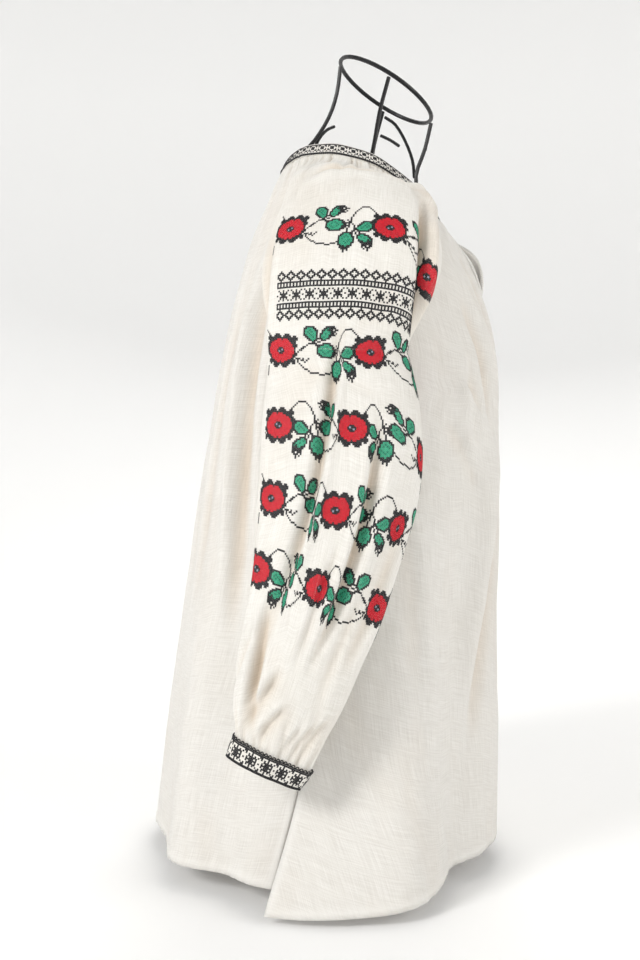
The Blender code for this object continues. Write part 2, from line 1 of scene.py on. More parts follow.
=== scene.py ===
# %% [markdown]
# # A Romanian ie on a wire dress form
#
# An ie is a smock blouse of thin cotton: a flared front and back and two full sleeves, all
# gathered into one narrow neckband. Its sleeves carry rows of cross stitch.
# The imported solids give the size and the place of every piece. This lesson clothes them: each
# solid is replaced by a thin sheet of cloth, by threads that lie on it, or by painted wire.
# We start by loading the solids.

# %% Load the frame
import math

import bpy
import numpy as np
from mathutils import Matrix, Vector, noise


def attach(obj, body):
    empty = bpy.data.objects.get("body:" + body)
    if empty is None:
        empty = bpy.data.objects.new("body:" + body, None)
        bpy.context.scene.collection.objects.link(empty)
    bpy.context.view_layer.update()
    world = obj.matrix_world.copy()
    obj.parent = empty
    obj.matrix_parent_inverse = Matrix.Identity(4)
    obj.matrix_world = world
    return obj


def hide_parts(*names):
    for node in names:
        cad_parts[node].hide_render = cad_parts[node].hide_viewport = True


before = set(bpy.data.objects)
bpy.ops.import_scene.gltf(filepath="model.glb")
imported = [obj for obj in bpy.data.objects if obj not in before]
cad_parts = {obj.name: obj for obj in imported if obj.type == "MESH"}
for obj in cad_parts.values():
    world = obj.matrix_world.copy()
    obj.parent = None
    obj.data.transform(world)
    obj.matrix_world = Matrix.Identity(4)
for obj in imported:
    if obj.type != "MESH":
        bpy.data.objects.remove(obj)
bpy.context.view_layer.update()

# %% [markdown]
# Four small helpers come first. Operators work on the object that is active and selected, and
# much of the cloth is laid out by lengths along a line and by directions of length one.

# %% Small helpers
def add_object(name, data):
    thing = bpy.data.objects.new(name, data)
    bpy.context.scene.collection.objects.link(thing)
    return thing


def select_only(thing):
    for other in bpy.context.selected_objects:
        other.select_set(False)
    bpy.context.view_layer.objects.active = thing
    thing.select_set(True)


def unit(vectors):
    """The same directions, each one long."""
    return vectors / np.linalg.norm(vectors, axis=-1, keepdims=True)


def lengths_along(line):
    """The length from a line's first point to each of its points."""
    step = np.linalg.norm(np.diff(line, axis=0), axis=1)
    return np.concatenate([[0.0], np.cumsum(step)])


# %% [markdown]
# ## Camera, floor and light
#
# A garment is looked at in soft, even light, on a floor and in front of a wall of the same
# pale paper. A shallow dish does for both: its flat middle is the floor, and its rim curves up
# all round, so no edge shows from any side. It is spun from a short profile.


# %% Camera
camera_data = bpy.data.cameras.new("camera")
camera = add_object("camera", camera_data)
camera.location = (-1.35, 0.008, 0.402)
camera.rotation_euler = (math.radians(90), 0.0, math.radians(-90))
camera_data.sensor_fit = "VERTICAL"
camera_data.sensor_height = 36.0
camera_data.lens = 45.0
bpy.context.scene.camera = camera
print("camera looks along +X from", tuple(camera.location))

# %% Paper floor and backdrop
FLOOR_RADIUS = 2.7
RIM_CURVE = 2.4
RIM_STEPS = 12
DISH_HEIGHT = 4.5


def add_paper():
    """A flat disc whose rim sweeps up into a wall, spun round the middle."""
    profile = [(0.0, 0.0), (FLOOR_RADIUS, 0.0)]
    for step in range(1, RIM_STEPS + 1):
        angle = math.radians(90.0 * step / RIM_STEPS)
        rise = RIM_CURVE * (1.0 - math.cos(angle))
        profile.append((FLOOR_RADIUS + RIM_CURVE * math.sin(angle), rise))
    profile.append((FLOOR_RADIUS + RIM_CURVE, DISH_HEIGHT))
    mesh = bpy.data.meshes.new("paper")
    edges = [(i, i + 1) for i in range(len(profile) - 1)]
    mesh.from_pydata([(x, 0.0, z) for x, z in profile], edges, [])
    paper = add_object("paper", mesh)
    select_only(paper)
    bpy.ops.object.mode_set(mode="EDIT")
    bpy.ops.mesh.select_all(action="SELECT")
    bpy.ops.mesh.spin(steps=64, angle=2.0 * math.pi, center=(0, 0, 0), axis=(0, 0, 1))
    bpy.ops.mesh.remove_doubles(threshold=0.0005)
    bpy.ops.mesh.normals_make_consistent(inside=True)
    bpy.ops.object.mode_set(mode="OBJECT")
    bpy.ops.object.shade_smooth()
    return paper


paper = add_paper()

# %% [markdown]
# Every finish in this lesson is built from the same few steps: plain values on the shader, one
# colour turning to another, a noise that follows the object, and a relief that tips the normals.

# %% Steps of a finish
def link(tree, out, into):
    tree.links.new(out, into)


def add_node(tree, kind, values=()):
    """values: pairs of an input's name and its value."""
    node = tree.nodes.new(kind)
    for name, value in values:
        node.inputs[name].default_value = value
    return node


def new_finish(name, values):
    finish = bpy.data.materials.new(name)
    finish.use_nodes = True
    shader = finish.node_tree.nodes["Principled BSDF"]
    for value_name, value in values:
        shader.inputs[value_name].default_value = value
    return finish, finish.node_tree, shader


def mix_colours(tree, factor, a, b, blend="MIX"):
    """Colour a turning to b as the factor rises. a may also be another step's output."""
    mix = tree.nodes.new("ShaderNodeMix")
    mix.data_type = "RGBA"
    mix.blend_type = blend
    link(tree, factor, mix.inputs["Factor"])
    if isinstance(a, tuple):
        mix.inputs["A"].default_value = (*a, 1.0)
    else:
        link(tree, a, mix.inputs["A"])
    mix.inputs["B"].default_value = (*b, 1.0)
    return mix.outputs["Result"]


def add_noise(tree, scale, detail):
    place = tree.nodes.new("ShaderNodeTexCoord")
    uneven = add_node(tree, "ShaderNodeTexNoise", (("Scale", scale), ("Detail", detail)))
    link(tree, place.outputs["Object"], uneven.inputs["Vector"])
    return uneven.outputs["Fac"]


def add_relief(tree, shader, height, strength, distance):
    relief = add_node(tree, "ShaderNodeBump", (("Strength", strength), ("Distance", distance)))
    link(tree, height, relief.inputs["Height"])
    link(tree, relief.outputs["Normal"], shader.inputs["Normal"])
    return relief.outputs["Normal"]


# %% Paper finish
paper_finish, _, _ = new_finish("studio_paper", (
    ("Base Color", (0.90, 0.90, 0.895, 1.0)),
    ("Emission Color", (1.0, 1.0, 1.0, 1.0)),
    ("Emission Strength", 0.09),        # white paper that never falls to grey
    ("Roughness", 0.9),
))
paper.data.materials.append(paper_finish)

# %% Soft studio light
LIGHT_AIM = (0.0, 0.0, 0.45)
LIGHTS = (
    # name, place, size, power, colour
    ("key_light", (-2.6, 2.7, 2.3), 1.3, 88.0, (1.0, 0.99, 0.975)),
    ("fill_light", (-1.7, -3.3, 1.9), 2.6, 42.0, (1.0, 0.975, 0.94)),
    ("far_light", (3.0, -0.4, 2.9), 2.6, 54.0, (1.0, 0.99, 0.97)),
)
SKY_STRENGTH = 0.37

for name, place, size, power, colour in LIGHTS:
    data = bpy.data.lights.new(name, "AREA")
    data.shape = "DISK"
    data.size = size
    data.energy = power
    data.color = colour
    lamp = add_object(name, data)
    lamp.location = place
    toward = Vector(LIGHT_AIM) - Vector(place)
    lamp.rotation_euler = toward.to_track_quat("-Z", "Y").to_euler()

world = bpy.data.worlds.new("studio")
bpy.context.scene.world = world
world.use_nodes = True
sky = world.node_tree.nodes["Background"]
sky.inputs["Color"].default_value = (1.0, 1.0, 1.0, 1.0)
sky.inputs["Strength"].default_value = SKY_STRENGTH
bpy.context.scene.view_settings.view_transform = "Standard"
print(len(LIGHTS), "soft lights and a white sky")

# %% [markdown]
# ## The blouse's form
#
# Gathered cloth follows the body in rings. The tables below are the tailor's measurements that
# the solids were cut to, so a sheet made from them lies where its solid lies. "drop" is how
# far down a ring is: 0 at the neckline, 1 at the armpit and 2 at the hem. Heights are measured
# from the hem. Values between two rows of a table are read on a smooth curve.

# %% Measurements of the body
HEM_HEIGHT = 0.022
BODY_COLUMNS = ("drop", "half_width", "front_y", "front_h", "back_y", "back_h", "side_rise",
                "square")
BODY = (
    (0.00, 0.095, -0.132, 0.650, 0.050, 0.724, 0.026, 2.00),
    (0.25, 0.117, -0.153, 0.624, 0.069, 0.685, 0.030, 2.00),
    (0.50, 0.138, -0.170, 0.588, 0.088, 0.630, 0.026, 2.00),
    (0.75, 0.153, -0.182, 0.547, 0.105, 0.565, 0.014, 2.05),
    (1.00, 0.164, -0.190, 0.500, 0.118, 0.500, 0.000, 2.10),
    (1.25, 0.170, -0.191, 0.410, 0.133, 0.410, 0.000, 2.10),
    (1.50, 0.182, -0.190, 0.295, 0.151, 0.295, 0.000, 2.05),
    (1.75, 0.207, -0.186, 0.155, 0.171, 0.155, 0.000, 2.00),
    (2.00, 0.246, -0.181, 0.000, 0.188, 0.000, 0.000, 1.95),
)
UNDERARM_TURN = 100.0       # degrees round from the front centre
SEAM_COLUMNS = ("drop", "front_turn", "back_turn")
SEAMS = (
    (0.00, 50.0, 140.0),
    (0.25, 56.0, 134.0),
    (0.50, 66.0, 126.0),
    (0.75, 81.0, 116.0),
    (1.00, UNDERARM_TURN, UNDERARM_TURN),
)
SIDE_SEAM = ((1.00, UNDERARM_TURN), (1.80, 98.5), (2.00, 105.5))
SIDE_SLIT_TOP = 0.118
SLIT_FLARE, SLIT_DIP, SLIT_FLARE_SPREAD = 0.030, 0.015, 46.0
QUIET_SPREAD = 14.0         # degrees beside a seam where folds die away

# %% Measurements of the sleeves
RIGHT, LEFT = 1.0, -1.0
RIDGE_COLUMNS = ("drop", "ridge_x", "ridge_y", "ridge_h", "roundness", "fullness")
RIDGE = (
    (0.00, 0.0950, -0.0330, 0.7150, 1.0, 0.000),
    (0.25, 0.1300, -0.0310, 0.7030, 1.1, 0.008),
    (0.50, 0.1700, -0.0270, 0.6720, 1.3, 0.025),
    (0.75, 0.2120, -0.0200, 0.6080, 1.6, 0.052),
    (1.00, 0.2520, -0.0093, 0.5000, 2.0, 0.067),
)
ARM_COLUMNS = ("drop", "centre_h", "centre_y", "half_depth", "half_thick", "clearance", "tilt")
ARM = (
    (1.00, 0.500, -0.0093, 0.0670, 0.0430, 0.0000, 0.0),
    (1.20, 0.435, -0.0120, 0.0750, 0.0500, 0.0050, 0.0),
    (1.40, 0.365, -0.0075, 0.0745, 0.0510, 0.0090, 1.0),
    (1.60, 0.285, 0.0085, 0.0640, 0.0460, 0.0140, 5.0),
    (1.80, 0.205, 0.0310, 0.0530, 0.0370, 0.0190, 12.0),
    (1.92, 0.160, 0.0450, 0.0440, 0.0300, 0.0210, 20.0),
    (2.00, 0.132, 0.0525, 0.0363, 0.0240, 0.0220, 25.6),
)
ARMPIT_GAP, ARMPIT_TUCK, YOKE_BLEND = 0.0012, 0.0003, 0.35

# %% Long folds, as turn, spread, rise and the height where they die out
FRONT_FOLDS = (
    (69.0, 13.0, 0.018, 0.47),
    (44.0, 10.0, -0.016, 0.50),
    (17.0, 9.0, 0.006, 0.36),
    (-8.0, 9.0, -0.009, 0.40),
    (-30.0, 10.0, 0.010, 0.45),
    (-47.0, 8.0, -0.013, 0.42),
    (-66.0, 12.0, 0.016, 0.44),
)
BACK_FOLDS = (
    (124.0, 9.0, -0.011, 0.56),
    (141.0, 9.0, 0.009, 0.48),
    (163.0, 10.0, -0.007, 0.40),
    (187.0, 11.0, 0.007, 0.44),
    (209.0, 9.0, -0.010, 0.50),
    (231.0, 10.0, 0.009, 0.46),
)
ARM_FOLDS = (
    (0.18, 0.050, -0.0060, 0.40),
    (0.30, 0.055, 0.0040, 0.45),
    (0.44, 0.060, -0.0035, 0.36),
    (0.66, 0.055, 0.0040, 0.42),
    (0.80, 0.050, -0.0055, 0.40),
)
ARM_FOLDS_END = 0.13


# %% Reading the tables
def table_row(columns, rows, place):
    """Values of a table at a place between its rows, on smooth curves through the rows."""
    places = [row[0] for row in rows]
    place = min(max(place, places[0]), places[-1])
    index = max(i for i in range(len(rows) - 1) if places[i] <= place + 1e-9)
    span = places[index + 1] - places[index]
    t = (place - places[index]) / span
    values = {}
    for column, name in enumerate(columns):
        low, high = rows[index][column], rows[index + 1][column]
        before = rows[max(index - 1, 0)]
        after = rows[min(index + 2, len(rows) - 1)]
        slope_low = (high - before[column]) / (places[index + 1] - before[0])
        slope_high = (after[column] - low) / (after[0] - places[index])
        values[name] = (
            low * (2 * t ** 3 - 3 * t ** 2 + 1)
            + slope_low * span * (t ** 3 - 2 * t ** 2 + t)
            + high * (3 * t ** 2 - 2 * t ** 3)
            + slope_high * span * (t ** 3 - t ** 2)
        )
    return values


def ease(value):
    """A smooth step from 0 to 1."""
    value = np.clip(value, 0.0, 1.0)
    return value * value * (3.0 - 2.0 * value)


def signed_power(value, power):
    return np.sign(value) * np.abs(value) ** power


# %% Rings of the body and of the sleeves
def fold_rise(folds, turn, height):
    rise = 0.0
    for fold_turn, spread, depth, top_h in folds:
        reach = ease((top_h - height) / top_h)
        rise = rise + depth * reach * np.exp(-((turn - fold_turn) / spread) ** 2)
    return rise


def seam_turns(drop):
    if drop >= 1.0:
        side = table_row(("drop", "turn"), SIDE_SEAM, drop)["turn"]
        return side, side
    row = table_row(SEAM_COLUMNS, SEAMS, drop)
    return row["front_turn"], row["back_turn"]


def body_ring(drop, turn, panel):
    """Points of the front or back panel at one drop, for an array of turns."""
    row = table_row(BODY_COLUMNS, BODY, drop)
    turn = np.asarray(turn, float)
    angle = np.radians(turn)
    centre_y = (row["front_y"] + row["back_y"]) / 2
    half_depth = (row["back_y"] - row["front_y"]) / 2
    power = 2.0 / row["square"]
    across = -signed_power(np.sin(angle), power)
    along = -signed_power(np.cos(angle), power)
    height = row["front_h"] + (row["back_h"] - row["front_h"]) * (1.0 - np.cos(angle)) / 2
    height = height + row["side_rise"] * np.sin(angle) ** 2
    folds = FRONT_FOLDS if panel == "front" else BACK_FOLDS
    seam = seam_turns(drop)[0 if panel == "front" else 1]
    from_seam = np.abs(np.minimum(turn % 360.0, 360.0 - turn % 360.0) - seam)
    out = fold_rise(folds, turn, height) * ease(from_seam / QUIET_SPREAD)
    if panel == "front":
        edge = np.exp(-((np.abs(turn) - UNDERARM_TURN) / SLIT_FLARE_SPREAD) ** 2)
        loose = ease((SIDE_SLIT_TOP - row["front_h"]) / SIDE_SLIT_TOP) * edge
        out = out + SLIT_FLARE * loose
        height = height - SLIT_DIP * loose
    return np.stack([
        (row["half_width"] + out) * across,
        centre_y + (half_depth + out) * along,
        HEM_HEIGHT + height,
    ], axis=-1)


def drop_at_height(height):
    low, high = 1.0, 2.0
    for _ in range(30):
        middle = (low + high) / 2
        if table_row(BODY_COLUMNS, BODY, middle)["front_h"] > height:
            low = middle
        else:
            high = middle
    return (low + high) / 2


def sleeve_ring(drop, share, side):
    """Points of a sleeve at one drop; share runs 0..1 from its front seam to its back seam."""
    share = np.asarray(share, float)
    if drop > 1.0:
        row = table_row(ARM_COLUMNS, ARM, drop)
        angle = 2.0 * np.pi * share
        body_half = table_row(BODY_COLUMNS, BODY, drop_at_height(row["centre_h"]))["half_width"]
        inner = body_half - ARMPIT_TUCK + row["clearance"]
        out = fold_rise(ARM_FOLDS, share, max(row["centre_h"] - ARM_FOLDS_END, 0.0))
        across, y = row["half_thick"] + out, -(row["half_depth"] + out) * np.sin(angle)
        tilt = math.radians(row["tilt"])
        return np.stack([
            -side * (inner + row["half_thick"] - across * np.cos(angle)),
            row["centre_y"] + y * math.cos(tilt),
            HEM_HEIGHT + row["centre_h"] + y * math.sin(tilt),
        ], axis=-1)
    front_turn, back_turn = seam_turns(drop)
    front = body_ring(drop, [side * front_turn], "front")
    back = body_ring(drop, [360.0 - back_turn if side == LEFT else back_turn], "back")
    if drop >= 1.0:
        front = front + np.array([-side * ARMPIT_GAP, 0.0, 0.0])
        back = front
    row = table_row(RIDGE_COLUMNS, RIDGE, drop)
    angle = (np.pi * share)[:, None]
    chord = front + (back - front) * (1.0 - np.cos(angle)) / 2
    ridge = np.array([-side * row["ridge_x"], row["ridge_y"], HEM_HEIGHT + row["ridge_h"]])
    lift = (ridge - (front + back) / 2) * np.sin(angle) ** row["roundness"]
    spread = -2.0 * row["fullness"] * np.sin(angle) * np.cos(angle)
    full = chord + lift + spread * np.array([0.0, 1.0, 0.0])
    yoke = body_ring(drop, side * (front_turn + (back_turn - front_turn) * share), "front")
    return yoke + (full - yoke) * ease(drop / YOKE_BLEND)


hem_ring = body_ring(2.0, np.linspace(0.0, 360.0, 361), "back")
print("hem goes round the body in", round(float(lengths_along(hem_ring)[-1]), 2), "m")

# %% [markdown]
# ## A grid of cloth
#
# Each sheet is a fine grid: rows go down the cloth, columns across it. The grid knows how far
# every point is along the thread from its row's and its column's start. Creases, gathers and
# stitches are all placed by those two lengths, in metres of cloth, as a tailor would measure.


# %% The grid and its lengths
class Cloth:
    """A grid of points with its outward normals and its lengths along the cloth.

    inside(points) gives a point on the wearer's side of each point. Lengths across are counted
    from the reference column, and lengths down from the first row.
    """

    def __init__(self, points, inside, reference):
        self.points = points
        self.inside = inside
        self.reference = reference
        self.measure()

    def measure(self):
        p = self.points
        normals = np.cross(np.gradient(p, axis=1), np.gradient(p, axis=0))
        normals /= np.maximum(np.linalg.norm(normals, axis=-1, keepdims=True), 1e-12)
        if (normals * (p - self.inside(p))).sum() < 0:
            normals = -normals
        self.normals = normals
        step = np.linalg.norm(np.diff(p, axis=1), axis=-1)
        s = np.concatenate([np.zeros((len(p), 1)), np.cumsum(step, axis=1)], axis=1)
        self.across = s - s[:, self.reference:self.reference + 1]
        step = np.linalg.norm(np.diff(p, axis=0), axis=-1)
        self.down = np.concatenate([np.zeros((1, p.shape[1])), np.cumsum(step, axis=0)], axis=0)
        self.width = s[:, -1:]

    def lift(self, amount):
        self.points = self.points + self.normals * amount[..., None]
        self.measure()

    def area(self):
        across = np.diff(self.points, axis=1)[:-1]
        down = np.diff(self.points, axis=0)[:, :-1]
        return float(np.linalg.norm(np.cross(across, down), axis=-1).sum())

    def sample(self, ring, across, below):
        """Points and normals at lengths across from the reference column, along one ring,
        and then down the cloth from that ring."""
        low = int(ring)
        part = ring - low
        reach = self.across[low] * (1 - part) + self.across[low + 1] * part
        columns = self.points.shape[1]
        column = np.interp(across, reach, np.arange(columns))
        c = np.clip(column.astype(int), 0, columns - 2)
        f = column - c
        depth = self.down[:, c] * (1 - f) + self.down[:, c + 1] * f
        start = depth[low] * (1 - part) + depth[low + 1] * part
        target = start + below
        row = np.clip((depth < target).sum(axis=0) - 1, 0, len(self.points) - 2)
        pick = np.arange(len(c))
        span = depth[row + 1, pick] - depth[row, pick]
        g = np.clip((target - depth[row, pick]) / np.maximum(span, 1e-9), 0.0, 1.0)
        weights = ((1 - g) * (1 - f), (1 - g) * f, g * (1 - f), g * f)
        places = ((row, c), (row, c + 1), (row + 1, c), (row + 1, c + 1))
        point = sum(w[:, None] * self.points[r, k] for w, (r, k) in zip(weights, places))
        normal = sum(w[:, None] * self.normals[r, k] for w, (r, k) in zip(weights, places))
        normal /= np.linalg.norm(normal, axis=-1, keepdims=True)
        return point, normal

    def ring_at_height(self, height):
        """The ring, counted with a fraction, whose reference point hangs at a height."""
        heights = self.points[:, self.reference, 2]
        return float(np.interp(-height, -heights, np.arange(len(heights))))


# %% [markdown]
# Folds are soft troughs and ridges laid on the grid. A gather is a short pleat that starts under
# a band and opens out as it runs down: a row of them is drawn with uneven places, depths and
# lengths from a seeded list, so they look sewn by hand but come out the same every time.

# %% Gathers and creases
RIDGE_CHANCE, RIDGE_HEIGHT = 0.22, 0.45     # a few pleats stand out as low ridges
CREASE_STARTS, CREASE_DIES = 0.35, 0.4      # shares of a crease's length
SEAM_SWELL, SEAM_REACH = 0.0009, 0.004
HOLLOW_DEPTH = 0.0120       # a trough this deep is as shaded as one gets


def gathers(q, v, pitch, depth, length, seed):
    """Pleats that start at v = 0. q and v are lengths across and down, in metres."""
    chance = np.random.RandomState(seed)
    low, high = float(q.min()), float(q.max())
    lift = np.zeros(np.broadcast(q, v).shape)
    place = low
    while place < high:
        place += pitch * chance.uniform(0.65, 1.45)
        tall = depth * chance.uniform(0.35, 1.0)
        tall *= RIDGE_HEIGHT if chance.rand() < RIDGE_CHANCE else -1.0
        reach = length * chance.uniform(0.35, 1.0) ** 1.4
        wide = pitch * 0.25 * (1.0 + 1.6 * v / reach)
        drift = chance.uniform(-0.05, 0.05) * v
        shape = np.exp(-((q - place - drift) / wide) ** 2)
        lift += tall * shape * ease(v / 0.004) * (1.0 - ease(v / reach))
    return lift


def crease(s, v, start, end, width, depth, lean, bow):
    """A trough (depth below 0) or ridge from start to end, each (across, down) in metres.
    lean turns it into a step with one steep side, and bow curves its line sideways."""
    a, b = np.array(start, float), np.array(end, float)
    line = b - a
    length = np.linalg.norm(line)
    line /= length
    t = ((s - a[0]) * line[0] + (v - a[1]) * line[1]) / length
    side = (s - a[0]) * line[1] - (v - a[1]) * line[0]
    side = side - bow * np.sin(np.pi * np.clip(t, 0.0, 1.0))
    ends = ease(t / CREASE_STARTS) * ease((1.0 - t) / CREASE_DIES)
    wave = np.exp(-(side / width) ** 2)
    step = -lean * (side / width) * np.exp(-(side / (1.6 * width)) ** 2) * 1.4
    return depth * ends * (wave + step)


# painted shade: how much warm shade is painted into the cloth where it lies in a trough
def fold_shade_mask(lift):
    """0 on the open cloth, 1 in the bottom of a deep trough."""
    return np.clip(-lift / HOLLOW_DEPTH, 0.0, 1.0)


def slack(points, scale, amount, seed):
    """Very soft unevenness of cloth that hangs, the same for neighbours along a seam."""
    flat = points.reshape(-1, 3)
    shift = Vector((seed * 3.1, seed * 1.7, seed * 0.9))
    stretch = Vector((scale, scale, scale * 0.35))
    values = [noise.noise(Vector(p) * stretch + shift) for p in flat]
    return amount * np.array(values).reshape(points.shape[:2])


def seam_roll(distance):
    """Cloth swells beside a seam and dips into it."""
    reach = distance / SEAM_REACH
    return SEAM_SWELL * reach * np.exp(1.0 - reach)


# %% [markdown]
# ## From grid to sheet
#
# A grid becomes a mesh with a UV map in metres of cloth, which the weave follows. Where the left
# and right ends of a ring are one point, as on a sleeve below the armpit, they share a vertex.
# Solidify then gives the thin wall, towards the wearer.

# %% Making the sheets
COTTON_WALL = 0.0007
BAND_WALL = 0.0016


def add_sheet(name, cloth, wall, closed_from=None, cut=None, masks=None):
    """closed_from: the row from which the last column is the first.
    cut: two neighbouring columns with no cloth between them, and the row where they join."""
    rows, columns = cloth.points.shape[:2]
    index = np.arange(rows * columns).reshape(rows, columns)
    if closed_from is not None:
        index[closed_from:, -1] = index[closed_from:, 0]
    if cut is not None:
        left, right, until = cut
        index[until:, right] = index[until:, left]
    corners = [((r, c), (r + 1, c), (r + 1, c + 1), (r, c + 1))
               for r in range(rows - 1) for c in range(columns - 1)
               if cut is None or c != cut[0]]
    flat = cloth.points.reshape(-1, 3)
    used, faces = np.unique([[index[place] for place in face] for face in corners],
                            return_inverse=True)
    faces = faces.reshape(-1, 4)
    middle = len(faces) // 2
    a, b, c = flat[used[faces[middle, :3]]]
    if float(np.cross(b - a, c - b) @ cloth.normals[corners[middle][0]]) < 0:
        faces = faces[:, ::-1]
        corners = [face[::-1] for face in corners]
    mesh = bpy.data.meshes.new(name)
    mesh.from_pydata(flat[used].tolist(), [], faces.tolist())
    layer = mesh.uv_layers.new(name="cloth")
    place = tuple(np.array(corners).reshape(-1, 2).T)
    uv = np.stack([cloth.across[place], -cloth.down[place]], axis=-1)
    layer.data.foreach_set("uv", uv.astype(np.float32).ravel())
    for mask_name, values in (masks or {}).items():
        attribute = mesh.attributes.new(mask_name, "FLOAT", "POINT")
        attribute.data.foreach_set("value", values.reshape(-1)[used].astype(np.float32))
    mesh.shade_smooth()
    piece = add_object(name, mesh)
    select_only(piece)
    solid = piece.modifiers.new("wall", "SOLIDIFY")
    solid.thickness = wall
    solid.offset = -1.0
    solid.use_even_offset = False
    bpy.ops.object.modifier_apply(modifier="wall")
    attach(piece, "root")
    print(name, "has", len(piece.data.polygons), "faces and", round(cloth.area(), 3), "m2 of cloth")
    return piece


# %% [markdown]
# ## Cotton
#
# The cloth is a thin, loosely spun plain weave. Its threads are uneven: now and then one is
# thick for a few centimetres, a slub, and catches the light. Two noises stretched along the
# warp and the weft give those, on the cloth's own UV map. Some light passes through, so the
# shader is partly translucent, and a doubled hem looks whiter because less does. A second mask
# puts painted warm shade into the bottoms of folds and a few listed places below the neckband.


# %% Slub weave as a node group
SLUB_PITCH, SLUB_LENGTH = 1050.0, 34.0      # noise cells to a metre, across and along a thread


def make_slub_weave():
    group = bpy.data.node_groups.new("slub_weave", "ShaderNodeTree")
    face = group.interface
    face.new_socket("Length", in_out="INPUT", socket_type="NodeSocketVector")
    face.new_socket("Shade", in_out="OUTPUT", socket_type="NodeSocketFloat")
    face.new_socket("Height", in_out="OUTPUT", socket_type="NodeSocketFloat")
    nodes = group.nodes
    start = nodes.new("NodeGroupInput")
    end = nodes.new("NodeGroupOutput")
    threads = []
    for label, scale in (("warp", (SLUB_PITCH, SLUB_LENGTH, 1.0)),
                         ("weft", (SLUB_LENGTH, SLUB_PITCH, 1.0))):
        stretch = add_node(group, "ShaderNodeMapping", [("Scale", scale)])
        stretch.label = label
        link(group, start.outputs["Length"], stretch.inputs["Vector"])
        slub = add_node(group, "ShaderNodeTexNoise",
                        (("Scale", 1.0), ("Detail", 4.0), ("Roughness", 0.62)))
        link(group, stretch.outputs["Vector"], slub.inputs["Vector"])
        threads.append(slub.outputs["Fac"])
    total = nodes.new("ShaderNodeMath")
    total.operation = "ADD"
    link(group, threads[0], total.inputs[0])
    link(group, threads[1], total.inputs[1])
    spread = add_node(group, "ShaderNodeMapRange", (("From Min", 0.72), ("From Max", 1.30)))
    link(group, total.outputs[0], spread.inputs["Value"])
    link(group, spread.outputs["Result"], end.inputs["Shade"])
    link(group, spread.outputs["Result"], end.inputs["Height"])
    return group


SLUB_WEAVE = make_slub_weave()


# %% Cotton finishes
COTTON_SURFACE = (("Roughness", 0.82), ("Specular IOR Level", 0.25), ("Sheen Weight", 0.22),
                  ("Sheen Roughness", 0.45))
WASHED_OUT = (0.965, 0.955, 0.935)          # large, faint patches
DOUBLED_COTTON = (0.88, 0.87, 0.835)
# warm painted shade, multiplied into the bottoms of folds
FOLD_SHADE_COLOUR = (0.83, 0.72, 0.61)


def read_mask(tree, name):
    mask = tree.nodes.new("ShaderNodeAttribute")
    mask.attribute_name = name
    return mask.outputs["Fac"]


def make_cotton(name, thin, thick, glow, through):
    """thin and thick: colours of open and dense weave; glow: colour of the light let through."""
    finish, tree, shader = new_finish(name, COTTON_SURFACE)
    uv = tree.nodes.new("ShaderNodeUVMap")
    uv.uv_map = "cloth"
    weave = tree.nodes.new("ShaderNodeGroup")
    weave.node_tree = SLUB_WEAVE
    link(tree, uv.outputs["UV"], weave.inputs["Length"])
    colour = mix_colours(tree, weave.outputs["Shade"], thin, thick)
    colour = mix_colours(tree, add_noise(tree, 14.0, 2.0), colour, WASHED_OUT, "MULTIPLY")
    colour = mix_colours(tree, read_mask(tree, "doubled"), colour, DOUBLED_COTTON)
    # the second mask multiplies painted shade into the bottoms of folds
    colour = mix_colours(tree, read_mask(tree, "painted_fold_shade"), colour, FOLD_SHADE_COLOUR, "MULTIPLY")
    link(tree, colour, shader.inputs["Base Color"])
    normal = add_relief(tree, shader, weave.outputs["Height"], 0.32, 0.0005)
    pass_through = add_node(tree, "ShaderNodeBsdfTranslucent", [("Color", (*glow, 1.0))])
    link(tree, normal, pass_through.inputs["Normal"])
    both = add_node(tree, "ShaderNodeMixShader", [("Fac", through)])
    link(tree, shader.outputs["BSDF"], both.inputs[1])
    link(tree, pass_through.outputs["BSDF"], both.inputs[2])
    link(tree, both.outputs["Shader"], tree.nodes["Material Output"].inputs["Surface"])
    return finish


BODY_COTTON = make_cotton(
    "body_cotton", (0.70, 0.68, 0.645), (0.90, 0.89, 0.865), (0.95, 0.88, 0.77), 0.14)
SLEEVE_COTTON = make_cotton(
    "sleeve_cotton", (0.73, 0.71, 0.665), (0.94, 0.93, 0.90), (0.95, 0.87, 0.75), 0.12)
BAND_COTTON = make_cotton(
    "band_cotton", (0.74, 0.72, 0.67), (0.90, 0.88, 0.84), (0.95, 0.88, 0.76), 0.05)

# %% [markdown]
# ## Front and back
#
# Both panels are wide at the hem and gathered at the neck. Folds fall from the gathers, and a
# few creases cross the chest where the cloth is pulled towards the arm. The hem and the edges
# of the side slits are turned twice and stitched, which makes them a little thicker.

# %% Rows and columns of the panels
PANEL_DROPS = np.concatenate([np.linspace(0.0, 1.0, 58), np.linspace(1.0, 2.0, 112)[1:]])
FRONT_HALF = 80
BACK_COLUMNS = 160
NECK_SLIT_DROP = 0.52
SLIT_GAPE, SLIT_TOP_GAPE, SLIT_STAND_RISE = 0.0044, 0.0010, 0.5
SLIT_STAND = {RIGHT: 0.0036, LEFT: 0.0140}
SLIT_SHOULDER = 11          # the slit's lips bend over one part in this many of the half panel
HEM_TURNING = 0.0075


def middle_line(y):
    """A function that gives the point beside each point on an upright line inside the cloth."""
    return lambda points: points * [0.0, 0.0, 1.0] + [0.0, y, 0.0]


